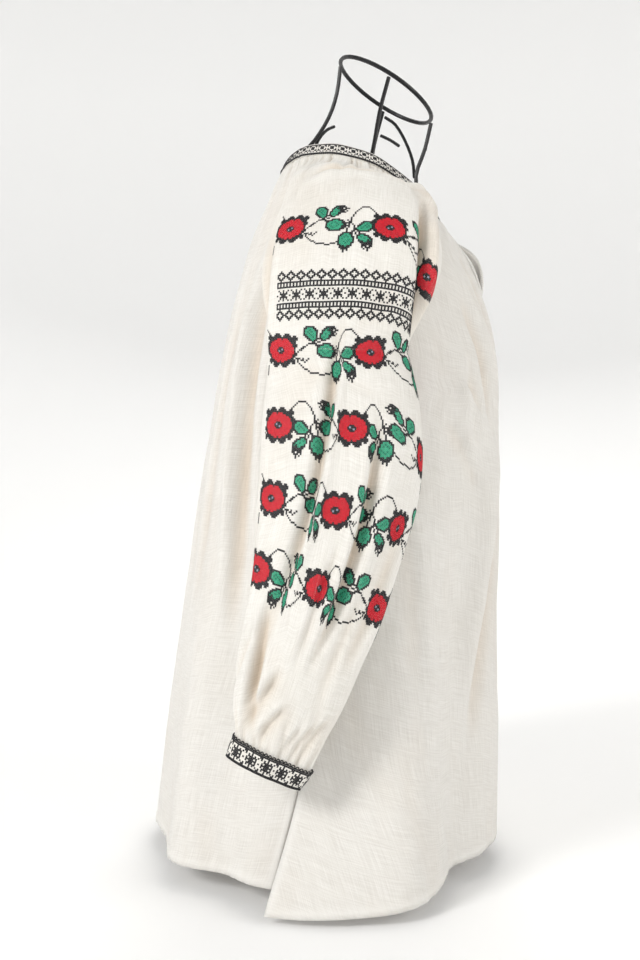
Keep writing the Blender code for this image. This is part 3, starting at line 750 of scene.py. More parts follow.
def front_grid():
    rows = []
    for drop in PANEL_DROPS:
        seam = seam_turns(drop)[0]
        row = []
        for side in (RIGHT, LEFT):
            turn = seam * np.linspace(1.0, 0.0, FRONT_HALF + 1)
            points = body_ring(drop, side * turn, "front")
            if drop < NECK_SLIT_DROP:
                open_share = math.sin(math.pi * drop / NECK_SLIT_DROP)
                lip = np.clip(1.0 - turn / seam * SLIT_SHOULDER, 0.0, 1.0)[:, None]
                gape = SLIT_TOP_GAPE + SLIT_GAPE * open_share
                stand = SLIT_STAND[side] * open_share
                points = points + lip * np.array([-side * gape, -stand, stand * SLIT_STAND_RISE])
            row.append(points if side == RIGHT else points[::-1])
        rows.append(np.concatenate(row))
    return np.array(rows)


def back_grid():
    rows = []
    for drop in PANEL_DROPS:
        seam = seam_turns(drop)[1]
        rows.append(body_ring(drop, np.linspace(seam, 360.0 - seam, BACK_COLUMNS + 1), "back"))
    return np.array(rows)


# %% Folds of a panel
BODY_MIDDLE = -0.03
PANEL_SLACK = 0.0030
SEWN_CALM = 0.014           # folds die out this near a sewn edge
FREE_OF_BAND = 0.05         # and the cloth is only uneven once this far from a band
NECK_GATHER = {"pitch": 0.0052, "depth": 0.0034, "length": 0.150}


def panel_distance(cloth):
    """Length along the cloth to the nearer side edge."""
    from_left = cloth.across - cloth.across[:, :1]
    return np.minimum(from_left, cloth.width - from_left)


def even_places(lengths):
    """The same ends, with the columns spread evenly between them."""
    return np.linspace(lengths.min(), lengths.max(), len(lengths))[None, :]


def dress(cloth, creases, seed):
    """Folds, gathers and unevenness for one panel. They fade at the sewn edges."""
    s, v = cloth.across, cloth.down
    lift = gathers(even_places(s[0]), v, seed=seed, **NECK_GATHER)
    for row in creases:
        lift += crease(s, v, *row)
    free = ease(v / FREE_OF_BAND)
    lift += slack(cloth.points, 16.0, PANEL_SLACK, seed) * free
    lift += slack(cloth.points, 55.0, PANEL_SLACK * 0.35, seed + 3) * free
    return lift * ease(panel_distance(cloth) / SEWN_CALM)


# %% Turned hems
HEM_THICKER = 0.0005
HEM_WHITENESS = 0.45
STITCH_LINE = (0.0007, 0.0010, 0.0016)      # depth, distance above the turning, width
HEM_WAVE, HEM_WAVE_REACH = 0.0005, 0.012
TURNING_EDGE = 0.0012       # the doubled cloth ends within this


def turned_hem(cloth):
    """How far each point is into the doubled cloth of the hem or of a side slit: 0 or 1."""
    from_bottom = cloth.down[-1:] - cloth.down
    edge = 1.0 - ease((from_bottom - HEM_TURNING) / TURNING_EDGE)
    beside = 1.0 - ease((panel_distance(cloth) - HEM_TURNING) / TURNING_EDGE)
    beside = beside * (cloth.points[..., 2] < HEM_HEIGHT + SIDE_SLIT_TOP)
    return np.maximum(edge, beside)


def hem_relief(cloth, phase):
    """The line of stitching sinks in, and it draws the hem up in tiny waves."""
    from_bottom = cloth.down[-1:] - cloth.down
    depth, above, width = STITCH_LINE
    line = np.exp(-((from_bottom - HEM_TURNING - above) / width) ** 2)
    wave = np.sin(cloth.across * 410.0 + 2.0 * np.sin(cloth.across * 61.0 + phase))
    return HEM_WAVE * wave * np.exp(-from_bottom / HEM_WAVE_REACH) - depth * line


def finish_panel(label, cloth, lift, phase):
    """Lays the folds and the turned hem on a panel, and gives its masks."""
    cloth.lift(lift + seam_roll(panel_distance(cloth)))
    print(label, "panel measures", round(float(cloth.width[-1, 0]), 3), "m along its hem")
    doubled = turned_hem(cloth)
    cloth.lift(doubled * HEM_THICKER + hem_relief(cloth, phase))
    # the second mask is painted shade for the bottoms of the folds
    return {"doubled": HEM_WHITENESS * doubled, "painted_fold_shade": fold_shade_mask(lift)}


# %% Front panel
FRONT_CREASES = (
    # start (across, down), end (across, down), width, depth, lean, bow
    ((-0.115, 0.075), (-0.060, 0.215), 0.0075, 0.0042, 0.7, 0.006),
    ((-0.128, 0.105), (-0.085, 0.285), 0.0080, -0.0044, -0.6, 0.005),
    ((-0.142, 0.150), (-0.120, 0.330), 0.0085, 0.0040, 0.5, -0.006),
    ((-0.090, 0.045), (-0.040, 0.150), 0.0055, -0.0028, 0.4, 0.004),
    ((-0.165, 0.205), (-0.100, 0.260), 0.0070, 0.0036, 0.8, 0.010),
    ((-0.170, 0.250), (-0.110, 0.330), 0.0075, -0.0030, 0.6, 0.010),
    ((0.118, 0.080), (0.066, 0.220), 0.0075, 0.0040, -0.7, -0.006),
    ((0.130, 0.112), (0.092, 0.290), 0.0080, -0.0042, 0.6, -0.005),
    ((0.145, 0.160), (0.118, 0.340), 0.0085, 0.0038, -0.5, 0.006),
    ((0.168, 0.215), (0.104, 0.268), 0.0070, 0.0034, -0.8, -0.010),
    ((-0.052, 0.150), (-0.190, 0.670), 0.0120, 0.0078, 0.9, 0.012),
    ((0.056, 0.160), (0.186, 0.660), 0.0120, 0.0074, -0.9, -0.012),
    ((-0.030, 0.120), (-0.045, 0.420), 0.0110, -0.0044, 0.3, 0.006),
    ((0.036, 0.130), (0.048, 0.440), 0.0100, -0.0030, -0.3, -0.006),
    ((-0.205, 0.330), (-0.225, 0.640), 0.0100, 0.0032, -0.4, 0.005),
    ((0.010, 0.250), (0.004, 0.560), 0.0120, 0.0028, 0.2, 0.004),
)
SLIT_CALM, SLIT_CALM_DOWN = 0.010, 0.16     # the slit's lips stay smooth, down to here

front = Cloth(front_grid(), middle_line(BODY_MIDDLE), FRONT_HALF)
front_lift = dress(front, FRONT_CREASES, seed=11)
front_lift *= np.where(front.down < SLIT_CALM_DOWN, ease(np.abs(front.across) / SLIT_CALM), 1.0)
front_masks = finish_panel("front", front, front_lift, 1.0)
slit_row = int((PANEL_DROPS < NECK_SLIT_DROP).sum())
front_cloth = add_sheet("front_cloth", front, COTTON_WALL,
                        cut=(FRONT_HALF, FRONT_HALF + 1, slit_row), masks=front_masks)
front_cloth.data.materials.append(BODY_COTTON)
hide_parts("front_panel")

# %% Back panel
BACK_CREASES = (
    ((-0.105, 0.060), (-0.172, 0.560), 0.0090, -0.0090, 0.8, 0.012),
    ((-0.092, 0.070), (-0.150, 0.480), 0.0090, 0.0040, 0.4, 0.010),
    ((-0.125, 0.110), (-0.215, 0.640), 0.0090, 0.0034, -0.6, 0.006),
    ((-0.060, 0.080), (-0.085, 0.560), 0.0100, -0.0034, 0.4, 0.006),
    ((-0.020, 0.090), (-0.030, 0.600), 0.0110, 0.0030, -0.3, 0.004),
    ((0.024, 0.080), (0.040, 0.620), 0.0110, -0.0034, 0.3, -0.006),
    ((0.066, 0.090), (0.098, 0.540), 0.0100, 0.0034, 0.4, -0.006),
    ((0.108, 0.070), (0.174, 0.560), 0.0095, -0.0086, -0.8, -0.012),
    ((0.125, 0.120), (0.215, 0.620), 0.0090, 0.0034, 0.6, -0.006),
)
back = Cloth(back_grid(), middle_line(BODY_MIDDLE), BACK_COLUMNS // 2)
back_masks = finish_panel("back", back, dress(back, BACK_CREASES, seed=23), 2.0)
back_cloth = add_sheet("back_cloth", back, COTTON_WALL, masks=back_masks)
back_cloth.data.materials.append(BODY_COTTON)
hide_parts("back_panel")

# %% [markdown]
# ## Sleeves
#
# A sleeve is one wide panel of cloth. Its top is gathered into the neckband between front and
# back, its edges meet under the arm, and its end is gathered into the cuff, so it puffs out
# above it. A deep fold runs down its front edge, and two narrower ones carry the fullness down
# to the cuff. The stitched motifs dip into them.

# %% Rows and columns of a sleeve
SLEEVE_DROPS = np.concatenate([np.linspace(0.0, 1.0, 76), np.linspace(1.0, 2.0, 116)[1:]])
SLEEVE_COLUMNS = 144
CLOSED_FROM = int((SLEEVE_DROPS < 1.0).sum())       # the row at the armpit
OUTER_COLUMN = SLEEVE_COLUMNS // 2
SHOULDER_HEIGHT, WRIST_HEIGHT = 0.47, 0.25
SHOULDER_GATHER = {"pitch": 0.0058, "depth": 0.0044, "length": 0.150}
CUFF_GATHER = {"pitch": 0.0072, "depth": 0.0050, "length": 0.105}
BAND_FREE = 0.006           # creases start this far below the neckband

SLEEVE_CREASES = (
    # across is from the sleeve's outer line, to the front +; down is from the neckband
    ((0.076, 0.050), (0.090, 0.285), 0.0055, -0.0120, 0.6, -0.004),
    ((0.066, 0.060), (0.079, 0.250), 0.0065, 0.0030, 0.2, -0.004),
    ((0.102, 0.060), (0.108, 0.235), 0.0095, 0.0060, 0.3, 0.003),
    ((0.010, 0.225), (-0.034, 0.580), 0.0042, -0.0084, 0.7, -0.006),
    ((-0.002, 0.240), (-0.046, 0.565), 0.0085, 0.0030, 0.0, -0.006),
    ((0.034, 0.330), (0.006, 0.604), 0.0042, -0.0084, -0.7, 0.004),
    ((0.048, 0.340), (0.022, 0.590), 0.0085, 0.0030, 0.0, 0.004),
    ((-0.076, 0.430), (-0.056, 0.600), 0.0075, 0.0036, 0.0, 0.004),
    ((0.074, 0.440), (0.036, 0.600), 0.0070, -0.0042, 0.6, 0.006),
    ((-0.086, 0.090), (-0.098, 0.330), 0.0090, -0.0045, 0.5, 0.004),
    ((-0.052, 0.068), (0.034, 0.059), 0.0050, -0.0052, 0.3, 0.010),
    ((-0.058, 0.079), (0.040, 0.069), 0.0060, 0.0030, 0.6, 0.010),
    ((0.030, 0.008), (0.084, 0.060), 0.0058, -0.0066, 0.6, -0.006),
    ((0.052, 0.020), (0.108, 0.115), 0.0060, 0.0062, 0.9, 0.006),
    ((0.068, 0.022), (0.121, 0.130), 0.0055, -0.0058, 0.7, 0.006),
    ((0.086, 0.030), (0.126, 0.100), 0.0055, 0.0030, 0.5, 0.004),
    ((0.060, 0.205), (-0.010, 0.285), 0.0080, -0.0016, 0.3, 0.006),
    ((-0.050, 0.300), (0.050, 0.340), 0.0090, -0.0016, 0.4, 0.008),
)

CUFF_CREASES = (
    # the same, but the second length is up from the cuff
    ((-0.044, 0.150), (-0.029, 0.004), 0.0040, -0.0061, 0.7, 0.004),
    ((-0.040, 0.120), (-0.066, 0.040), 0.0036, -0.0033, 0.5, 0.003),
    ((-0.036, 0.110), (-0.021, 0.002), 0.0034, -0.0043, -0.6, 0.003),
    ((-0.012, 0.085), (-0.030, 0.008), 0.0036, -0.0046, 0.6, 0.003),
    ((0.004, 0.055), (-0.018, 0.003), 0.0034, -0.0038, 0.6, 0.002),
    ((0.046, 0.060), (0.028, 0.000), 0.0030, -0.0035, 0.5, 0.002),
    ((0.034, 0.048), (0.018, 0.000), 0.0028, -0.0032, 0.5, 0.002),
    ((0.022, 0.040), (0.010, 0.000), 0.0028, -0.0027, 0.4, 0.002),
    ((0.010, 0.215), (-0.002, 0.060), 0.0036, -0.0031, 0.5, 0.004),
    ((0.046, 0.190), (0.030, 0.040), 0.0050, -0.0029, -0.5, 0.004),
)
PAINTED_SHADE_PLACES = (
    # painted shade where cloth rolls over or turns from the light below the neckband, measured as
    # the creases are
    ((-0.052, 0.066), (0.034, 0.057), 0.0046, 0.62, 0.0, 0.010),
    ((0.014, 0.050), (0.110, 0.080), 0.0130, 0.42, 0.0, 0.006),
    ((0.056, 0.056), (0.106, 0.140), 0.0140, 0.34, 0.0, 0.004),
    ((0.080, 0.060), (0.094, 0.300), 0.0090, 0.45, 0.0, -0.004),
)


# %% Making the sleeves
def inside_sleeve(points):
    """A middle for the shoulder, the arm or the wrist, whichever a point belongs to."""
    x, y, z = np.moveaxis(points, -1, 0)
    shoulder = z > SHOULDER_HEIGHT
    return np.stack([
        np.sign(x) * np.where(shoulder, 0.10, 0.225),
        np.where(z > WRIST_HEIGHT, -0.008, 0.035),
        np.where(shoulder, 0.45, z),
    ], axis=-1)


def make_sleeve_cloth(side, seed):
    """The cloth of one sleeve, and its mask of hollows."""
    shares = np.linspace(0.0, 1.0, SLEEVE_COLUMNS + 1)
    grid = np.array([sleeve_ring(drop, shares, side) for drop in SLEEVE_DROPS])
    cloth = Cloth(grid, inside_sleeve, OUTER_COLUMN)
    # share 0 is the front seam, so lengths across are turned to run to the front
    s = -cloth.across
    v = cloth.down[:, OUTER_COLUMN:OUTER_COLUMN + 1] + 0.0 * s
    from_cuff = cloth.down[-1:] - cloth.down
    drops = SLEEVE_DROPS[:, None]
    edge = np.where(drops < 1.0, panel_distance(cloth), 1.0)
    edge = np.minimum(edge, np.abs(drops - 1.0) * 0.3 + panel_distance(cloth))
    lift = gathers(even_places(s[0])[:, ::-1], cloth.down, seed=seed, **SHOULDER_GATHER)
    lift += gathers(even_places(s[-1])[:, ::-1], from_cuff, seed=seed + 5, **CUFF_GATHER)
    for row in SLEEVE_CREASES:
        lift += crease(s, v, *row) * ease(v / BAND_FREE)
    for row in CUFF_CREASES:
        lift += crease(s, from_cuff, *row)
    free = ease(cloth.down / FREE_OF_BAND) * ease(from_cuff / FREE_OF_BAND)
    lift += slack(cloth.points, 16.0, 0.0026, seed) * free
    lift += slack(cloth.points, 50.0, 0.0010, seed + 3) * free
    lift *= ease(edge / SEWN_CALM)
    # painted shade in the bottoms of folds, and in the listed places below the neckband
    painted_fold_shade = fold_shade_mask(lift)
    # these listed places get painted shade too, through the same mask
    for row in PAINTED_SHADE_PLACES:
        painted_fold_shade = np.maximum(painted_fold_shade, crease(s, v, *row))
    lift += seam_roll(edge)
    for values in (painted_fold_shade, lift):
        values[CLOSED_FROM:, -1] = values[CLOSED_FROM:, 0]
    cloth.lift(lift)
    return cloth, painted_fold_shade


SLEEVES, sleeve_pieces = {}, {}
for name, side, seed in (("right", RIGHT, 31), ("left", LEFT, 47)):
    cloth, painted_fold_shade = make_sleeve_cloth(side, seed)
    piece = add_sheet("sleeve_cloth_" + name, cloth, COTTON_WALL, closed_from=CLOSED_FROM,
                      masks={"painted_fold_shade": painted_fold_shade})
    piece.data.materials.append(SLEEVE_COTTON)
    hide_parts("sleeve_" + name)
    SLEEVES[name] = cloth
    sleeve_pieces[name] = piece

# %% [markdown]
# ## Neckband and cuffs
#
# The band is cut double and folded over the gathers, so it is a little proud of them. It is
# open at the front slit. The cuffs are made the same way, and narrow slightly to the wrist.

# %% Neckband
SIDES = {"right": RIGHT, "left": LEFT}
BAND_HEIGHT, BAND_LEAN, NECK_MIDDLE = 0.0125, (0.42, 0.91), -0.041
BAND_PROUD = 0.0009         # outside the gathered cloth
BAND_OVERLAP = 0.0012       # and this far down over it
BAND_CROWN = 0.0007         # bulge between its folded edges
BAND_ROWS = 9
NECK_POINTS = 420


def even_ring(ring, count, closed):
    """The same line with points at equal lengths."""
    line = np.concatenate([ring, ring[:1]]) if closed else ring
    length = lengths_along(line)
    places = np.linspace(0.0, length[-1], count)
    return np.stack([np.interp(places, length, line[:, k]) for k in range(3)], axis=-1)


def crowned(rows):
    return BAND_CROWN * np.sin(np.pi * np.linspace(0.0, 1.0, rows))[:, None]


right, left = SLEEVES["right"], SLEEVES["left"]
neck_ring = even_ring(np.concatenate([
    front.points[0, FRONT_HALF::-1], right.points[0, 1:], back.points[0, 1:],
    left.points[0, -2::-1], front.points[0, -2:FRONT_HALF:-1],
]), NECK_POINTS, closed=False)
inward = unit((np.array([0.0, NECK_MIDDLE, 0.0]) - neck_ring) * [1.0, 1.0, 0.0])
lean = unit(inward * BAND_LEAN[0] + [0.0, 0.0, BAND_LEAN[1]])
levels = np.linspace(BAND_HEIGHT, -BAND_OVERLAP, BAND_ROWS)
band = Cloth(np.array([neck_ring + lean * level for level in levels]), middle_line(NECK_MIDDLE), 0)
band.lift(crowned(BAND_ROWS) + BAND_PROUD + slack(band.points, 40.0, 0.0012, 5))
neckband_cloth = add_sheet("neckband_cloth", band, BAND_WALL)
neckband_cloth.data.materials.append(BAND_COTTON)
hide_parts("neckband")

# %% Cuffs
CUFF_HEIGHT, CUFF_TAPER, CUFF_OVERLAP = 0.0185, 0.93, 0.06
CUFF_COLUMNS, CUFF_ROWS = 180, 13
cuffs = {}
for name, side in SIDES.items():
    ring = sleeve_ring(2.0, np.linspace(0.0, 1.0, 241)[:-1], side)
    ring = even_ring(ring, CUFF_COLUMNS + 1, closed=True)
    centre = ring[:-1].mean(axis=0)
    down = np.cross(ring[CUFF_COLUMNS // 4] - centre, ring[0] - centre)
    down *= -np.sign(down[2]) / np.linalg.norm(down)
    rows = [centre + (ring - centre) * (1.0 + (CUFF_TAPER - 1.0) * t) + down * CUFF_HEIGHT * t
            for t in np.linspace(-CUFF_OVERLAP, 1.0, CUFF_ROWS)]
    cuff = Cloth(np.array(rows), lambda points, c=centre: c, CUFF_COLUMNS // 2)
    cuff.lift(crowned(CUFF_ROWS) + BAND_PROUD + np.abs(slack(cuff.points, 60.0, 0.0022, 9)))
    piece = add_sheet("cuff_cloth_" + name, cuff, BAND_WALL, closed_from=0)
    piece.data.materials.append(BAND_COTTON)
    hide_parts("cuff_" + name)
    cuffs[name] = (cuff, piece)

# %% [markdown]
# ## Cross stitch
#
# Every stitch is two short floss threads laid crosswise over a square of cloth. One stitch is
# modelled as a little crossed cushion with long corners and a narrow waist, because thick floss
# hides the ground. It is set at every square of a chart, bent to the cloth under it. The charts
# are text: each letter is a square, and its letter is its colour.

# %% Thread finishes
FLOSS_SURFACE = (("Roughness", 0.55), ("Specular IOR Level", 0.4), ("Sheen Roughness", 0.35))
# the floss mottle, about a stitch across, is partly uneven floss and partly painted shade between
# stitches
FLOSS_MOTTLE_AND_SHADE, FLOSS_STRANDS, FLOSS_RELIEF = (520.0, 1.0), (1900.0, 1.0), 0.0002
THREAD_RELIEF_STRENGTH = 0.5


def make_thread(name, light, dark, surface, mottle, strands, depth):
    """A colour between light and dark. mottle and strands: noise scale and detail."""
    finish, tree, shader = new_finish(name, surface)
    colour = mix_colours(tree, add_noise(tree, *mottle), dark, light)
    link(tree, colour, shader.inputs["Base Color"])
    add_relief(tree, shader, add_noise(tree, *strands), THREAD_RELIEF_STRENGTH, depth)
    return finish


def make_floss(name, colour, dark, sheen):
    surface = FLOSS_SURFACE + (("Sheen Weight", sheen),)
    return make_thread(name, colour, dark, surface, FLOSS_MOTTLE_AND_SHADE, FLOSS_STRANDS, FLOSS_RELIEF)


# each floss's second colour is its mottle's dark: partly uneven floss, partly painted shade between
# stitches
FLOSS = {
    "K": make_floss("black_floss", (0.017, 0.016, 0.019), (0.007, 0.007, 0.008), 0.03),
    "R": make_floss("crimson_floss", (0.78, 0.010, 0.028), (0.26, 0.003, 0.010), 0.02),
    "G": make_floss("mint_floss", (0.055, 0.46, 0.27), (0.012, 0.19, 0.105), 0.02),
    "D": make_floss("leaf_vein_floss", (0.014, 0.20, 0.115), (0.007, 0.12, 0.07), 0.02),
    "W": make_floss("pale_floss", (0.34, 0.37, 0.46), (0.20, 0.22, 0.30), 0.03),
}
FLOSS_NAMES = {"K": "black", "R": "crimson", "G": "mint", "D": "vein", "W": "pale"}


# %% One stitch, many places
STITCH_LIFT = 0.00012
STITCH_HEIGHT = 0.00055
CORNER_REACH = 1.09         # the crossed threads run a little past the square's corners
WAIST = 0.93                # and leave it slightly narrow half way along each edge


def stitch_cushions(corner_points, corner_normals):
    """corner_points: (n, 4, 3), round the square. A crossed cushion of thread over each."""
    count = len(corner_points)
    middle = corner_points.mean(axis=1, keepdims=True)
    normal = unit(corner_normals.mean(axis=1, keepdims=True))
    corners = middle + (corner_points - middle) * CORNER_REACH
    edges = (corner_points + np.roll(corner_points, -1, axis=1)) / 2
    edges = middle + (edges - middle) * WAIST
    outline = np.stack([corners + normal * 2 * STITCH_LIFT, edges + normal * STITCH_LIFT], axis=2)
    outline = outline.reshape(count, 8, 3)
    vertices = np.concatenate([outline, middle + normal * STITCH_HEIGHT], axis=1)
    wedge = np.array([(k, (k + 1) % 8, 8) for k in range(8)])
    faces = (np.arange(count) * 9)[:, None, None] + wedge[None]
    return vertices.reshape(-1, 3), faces.reshape(-1, 3)


def add_stitches(name, groups, colour):
    """groups: list of (points, normals) of squares. Makes one mesh of all their stitches."""
    points, normals = (np.concatenate(part) for part in zip(*groups))
    vertices, faces = stitch_cushions(points, normals)
    mesh = bpy.data.meshes.new(name)
    mesh.from_pydata(vertices.tolist(), [], faces.tolist())
    a, b, c = (vertices[faces[:8, k]] for k in range(3))
    if (np.cross(b - a, c - a) * normals[0].mean(axis=0)).sum() < 0:
        mesh.flip_normals()
    mesh.shade_smooth()
    piece = add_object(name, mesh)
    piece.data.materials.append(FLOSS[colour])
    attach(piece, "root")
    print(name, "has", len(points), "stitches")
    return piece


# %% Charts
ROSE = (
    ".......KKK...KKK.....",
    "..KK..KKKKK.KKKKK.KK.",
    ".KKKKKKKKKKKKKKKKKKKK",
    ".KKKKKKKRRRKRRRKKKKKK",
    "..KKKKRRRRRRRRRRKKKK.",
    ".KKKRRRRRRRRRRRRRKKK.",
    "KKKRRRRRRRRRRRRRRRKKK",
    "KKKRRRRRRRRRRRRRRRKKK",
    ".KRRRRRRRKKKRRRRRRRK.",
    ".KRRRRRRKKKWKRRRRRRK.",
    ".KRRRRRRKWKKKRRRRRRK.",
    "KKRRRRRRRKKKRRRRRRRKK",
    "KKKRRRRRRRRRRRRRRRKKK",
    ".KKRRRRRRRRRRRRRRRKK.",
    "..KKRRRRRRRRRRRRRKK..",
    ".KKKKKRRRRRRRRRKKKKK.",
    ".KKKKKKKRRKRRKKKKKKK.",
    "..KK.KKKKKKKKKKKK.KK.",
    ".....KKKKK.KKKKK.....",
    "......KKK...KKK......",
)
SPRIG = (
    "..KKKKK......KKKKKK....",
    ".KKGGGKK....KKDKKKKK...",
    ".KGGDGGKK..KKGKKKK.KKK.",
    ".KGDGDGGK..KGGGDKKKK...",
    ".KGGDGGGK.KKGDGGKKK.K..",
    ".KKGGDGGK.KGGGGKKKKK...",
    "..KKGGDGK.KGDGGKK......",
    "...KKGGGKKKKGGKK.......",
    "....KKGKK..KKK.........",
    "......KK.KK............",
    "....KKKKK...KKKKK......",
    "...K....KKKKKGGGKKK....",
    "..K......KKGGGDGGGKK...",
    ".K.......KGGDGGDGGKKKK.",
    "K........KGDGGGGDGGKK..",
    ".........KGGDGGDGGKKKKK",
    ".........KKGGDGGGGKKK..",
    "..........KKGGGGGKKK...",
    "...........KKKKKKK.....",
)
LOZENGES = (
    "..K...",
    ".KKK..",
    "KK.KK.",
    "K...KK",
    "KK.KK.",
    ".KKK..",
    "..K...",
)
LADDER = (
    "KK",
    "K.",
    "K.",
    "KK",
)
STARS = (
    ".K..K..K",
    "..K.K.K.",
    "..KKKKK.",
    "K..KKK..",
    "..KKKKK.",
    "..K.K.K.",
    ".K..K..K",
)
NECK_CHART = (
    "KKKKKKKK",
    ".KK...KK",
    ".K.KKK.K",
    "...KKK..",
    ".K.KKK.K",
    ".KK...KK",
    "K..K.K..",
)
CUFF_CHART = (
    "KKKKKKKKKK",
    "K....K...K",
    ".K.K.K.K.K",
    "..KKKKKK..",
    "..K.KKK.K.",
    "K.KKKKKKK.",
    "..K.KKK.K.",
    "..KKKKKK..",
    ".K.K.K.K.K",
    "K....K...K",
    "KKKKKKKKKK",
)
STEM = ((10, 4), (12, 7), (15, 10), (19, 12), (25, 13), (29, 11), (33, 6), (35, 0), (36, -5),
        (38, -10), (42, -14), (46, -14), (49, -11), (51, -7))
HOOK = ((11, 4), (13, 5), (14, 4), (15, 6), (17, 4))
LINK = ((10, 1), (13, -2), (16, -4))


# %% Reading a chart
def chart_squares(chart, left, top):
    """(column, row, colour) of every stitch of a chart whose top left square is given."""
    return [(left + c, top + r, letter) for r, line in enumerate(chart)
            for c, letter in enumerate(line) if letter != "."]


def line_squares(corners):
    """Black stitches along a bent line, one square wide."""
    squares = []
    for (x0, y0), (x1, y1) in zip(corners, corners[1:]):
        steps = max(abs(x1 - x0), abs(y1 - y0), 1)
        squares += [(round(x0 + (x1 - x0) * k / steps), round(y0 + (y1 - y0) * k / steps), "K")
                    for k in range(steps + 1)]
    return squares


def quarter_turn(chart):
    """The chart turned a quarter clockwise."""
    return tuple("".join(line[c] for line in reversed(chart)) for c in range(len(chart[0])))


REPEAT = 58                 # squares from one rose to the next
GARLAND = (
    chart_squares(ROSE, -10, -10)
    + chart_squares(SPRIG, 13, -15)
    + chart_squares(quarter_turn(SPRIG), 30, -4)
    + line_squares(STEM) + line_squares(HOOK) + line_squares(LINK)
)


def mirrored(squares):
    """Left to right, for some rows."""
    return [(REPEAT - c, r, letter) for c, r, letter in squares]


def tiled(chart, columns):
    """A border chart repeated over a number of columns."""
    return [(c, r, line[c % len(line)]) for r, line in enumerate(chart)
            for c in range(columns) if line[c % len(line)] != "."]


print("one garland repeat has", len(set((c, r) for c, r, _ in GARLAND)), "stitches")

# %% [markdown]
# The cloth that a fold swallows is still there, so a chart is squeezed where it crosses one. Each
# fold has a place on the sleeve and a width of cloth that it takes up, which grows down the arm.

# %% Placing squares on the sleeve
STITCH = 0.00172
UPPER, LOWER = 0.56, 0.30   # heights that the table of folds is measured at
SWALLOWED = (
    # place across at the upper and lower height, cloth taken up at each, spread
    (0.006, -0.028, 0.004, 0.030, 0.0085),
    (0.046, 0.008, 0.000, 0.018, 0.0080),
    (0.083, 0.080, 0.030, 0.006, 0.0070),
)
PAST_FRONT_FOLD = 0.05
CORNERS = ((-0.5, -0.5), (0.5, -0.5), (0.5, 0.5), (-0.5, 0.5))


def surface_place(length, height):
    """Where a length of cloth from the outer line ends up, past the folds that swallow some."""
    s = np.linspace(-0.24, 0.24, 961)
    share = (UPPER - height) / (UPPER - LOWER)
    density = np.ones_like(s)
    for high_place, low_place, high_take, low_take, spread in SWALLOWED:
        place = high_place + (low_place - high_place) * share
        take = max(high_take + (low_take - high_take) * share, 0.0)
        density += take * np.exp(-((s - place) / spread) ** 2) / (spread * math.sqrt(math.pi))
    cloth_length = np.cumsum(density) * (s[1] - s[0])
    cloth_length -= np.interp(0.0, s, cloth_length)
    return np.interp(length, cloth_length, s)


def lay_squares(cloth, ring, squares, lengths):
    """Corner points and normals of squares. lengths(column, row) turns places on the chart
    into lengths across the cloth and down it from a ring."""
    column, row = (np.array([square[k] for square in squares], float) for k in (0, 1))
    found = [cloth.sample(ring, *lengths(column + dx, row + dy)) for dx, dy in CORNERS]
    return tuple(np.stack(part, axis=1) for part in zip(*found))


def sleeve_squares(cloth, squares, height, first, tilt, droop, level):
    """Chart squares laid on the sleeve round one height."""
    def lengths(column, row):
        place = surface_place(column * STITCH + first, height)
        beyond = np.maximum(place - PAST_FRONT_FOLD, 0.0)
        behind = np.minimum(place, 0.0)
        return -place, row * STITCH + tilt * place + droop * beyond - level * behind ** 2
    return lay_squares(cloth, cloth.ring_at_height(height), squares, lengths)


# %% Rows of roses
ROWS = (
    # height, length to the first rose, tilt, droop past the front fold, levelling, mirrored
    (0.6450, -0.0620, 0.00, 0.75, 1.5, False),
    (0.5185, -0.0630, 0.01, 0.35, 0.8, False),
    (0.4480, -0.0900, 0.05, 0.62, 0.0, True),
    (0.3740, -0.1000, 0.12, 0.20, 0.0, False),
    (0.3050, -0.0990, 0.16, 0.10, 0.0, True),
)
ROW_START = -10             # a row starts with its rose
CLOTH_HALF = 0.150          # the rows end this far from the outer line, along the cloth

REPEATS = range(-1, 4)

stitches = {name: {letter: [] for letter in FLOSS} for name in SLEEVES}
for name, cloth in SLEEVES.items():
    for height, first, tilt, droop, level, turned in ROWS:
        squares = {}
        for repeat in REPEATS:
            for c, r, letter in (mirrored(GARLAND) if turned else GARLAND):
                squares.setdefault((c + repeat * REPEAT, r), letter)
        keep = [(c, r, letter) for (c, r), letter in squares.items()
                if c >= ROW_START and c * STITCH + first < CLOTH_HALF]
        points, normals = sleeve_squares(cloth, keep, height, first, tilt, droop, level)
        letters = np.array([square[2] for square in keep])
        for letter in FLOSS:
            chosen = letters == letter
            if chosen.any():
                stitches[name][letter].append((points[chosen], normals[chosen]))
    print(name, "sleeve is", round(float(cloth.down[-1, OUTER_COLUMN]), 3), "m long")

# %% The geometric band
BAND_TOP = 0.6000           # height of its upper edge on the outer line
BAND_START = -0.0680
BAND_COLUMNS = 112
BORDER = []
line_top = 0
for chart, gap in ((LOZENGES, 0), (LADDER, 1), (STARS, 1), (LADDER, 0), (LOZENGES, 0)):
    BORDER += [(c, r + line_top, letter) for c, r, letter in tiled(chart, BAND_COLUMNS)]
    line_top += len(chart) + gap
for name, cloth in SLEEVES.items():
    group = sleeve_squares(cloth, BORDER, BAND_TOP, BAND_START, 0.0, 0.10, 1.3)
    stitches[name]["K"].append(group)
print("the band is", line_top, "squares tall")

# %% Stitches on the sleeves
for name in SLEEVES:
    [
        add_stitches("stitches_" + FLOSS_NAMES[letter] + "_" + name, groups, letter)
        for letter, groups in stitches[name].items()]


# %% Stitches on the neckband and cuffs
def ring_squares(cloth, chart, pitch, height, top):
    """A border chart that runs once along a band, its squares stretched to fit."""
    start, length = float(cloth.across[0, 0]), float(cloth.width[0, 0])
    columns = len(chart[0]) * round(length / (len(chart[0]) * pitch))

    def lengths(column, row):
        return start + (column + 0.5) * length / columns, top + (row + 0.5) * height
    return lay_squares(cloth, 0.0, tiled(chart, columns), lengths)


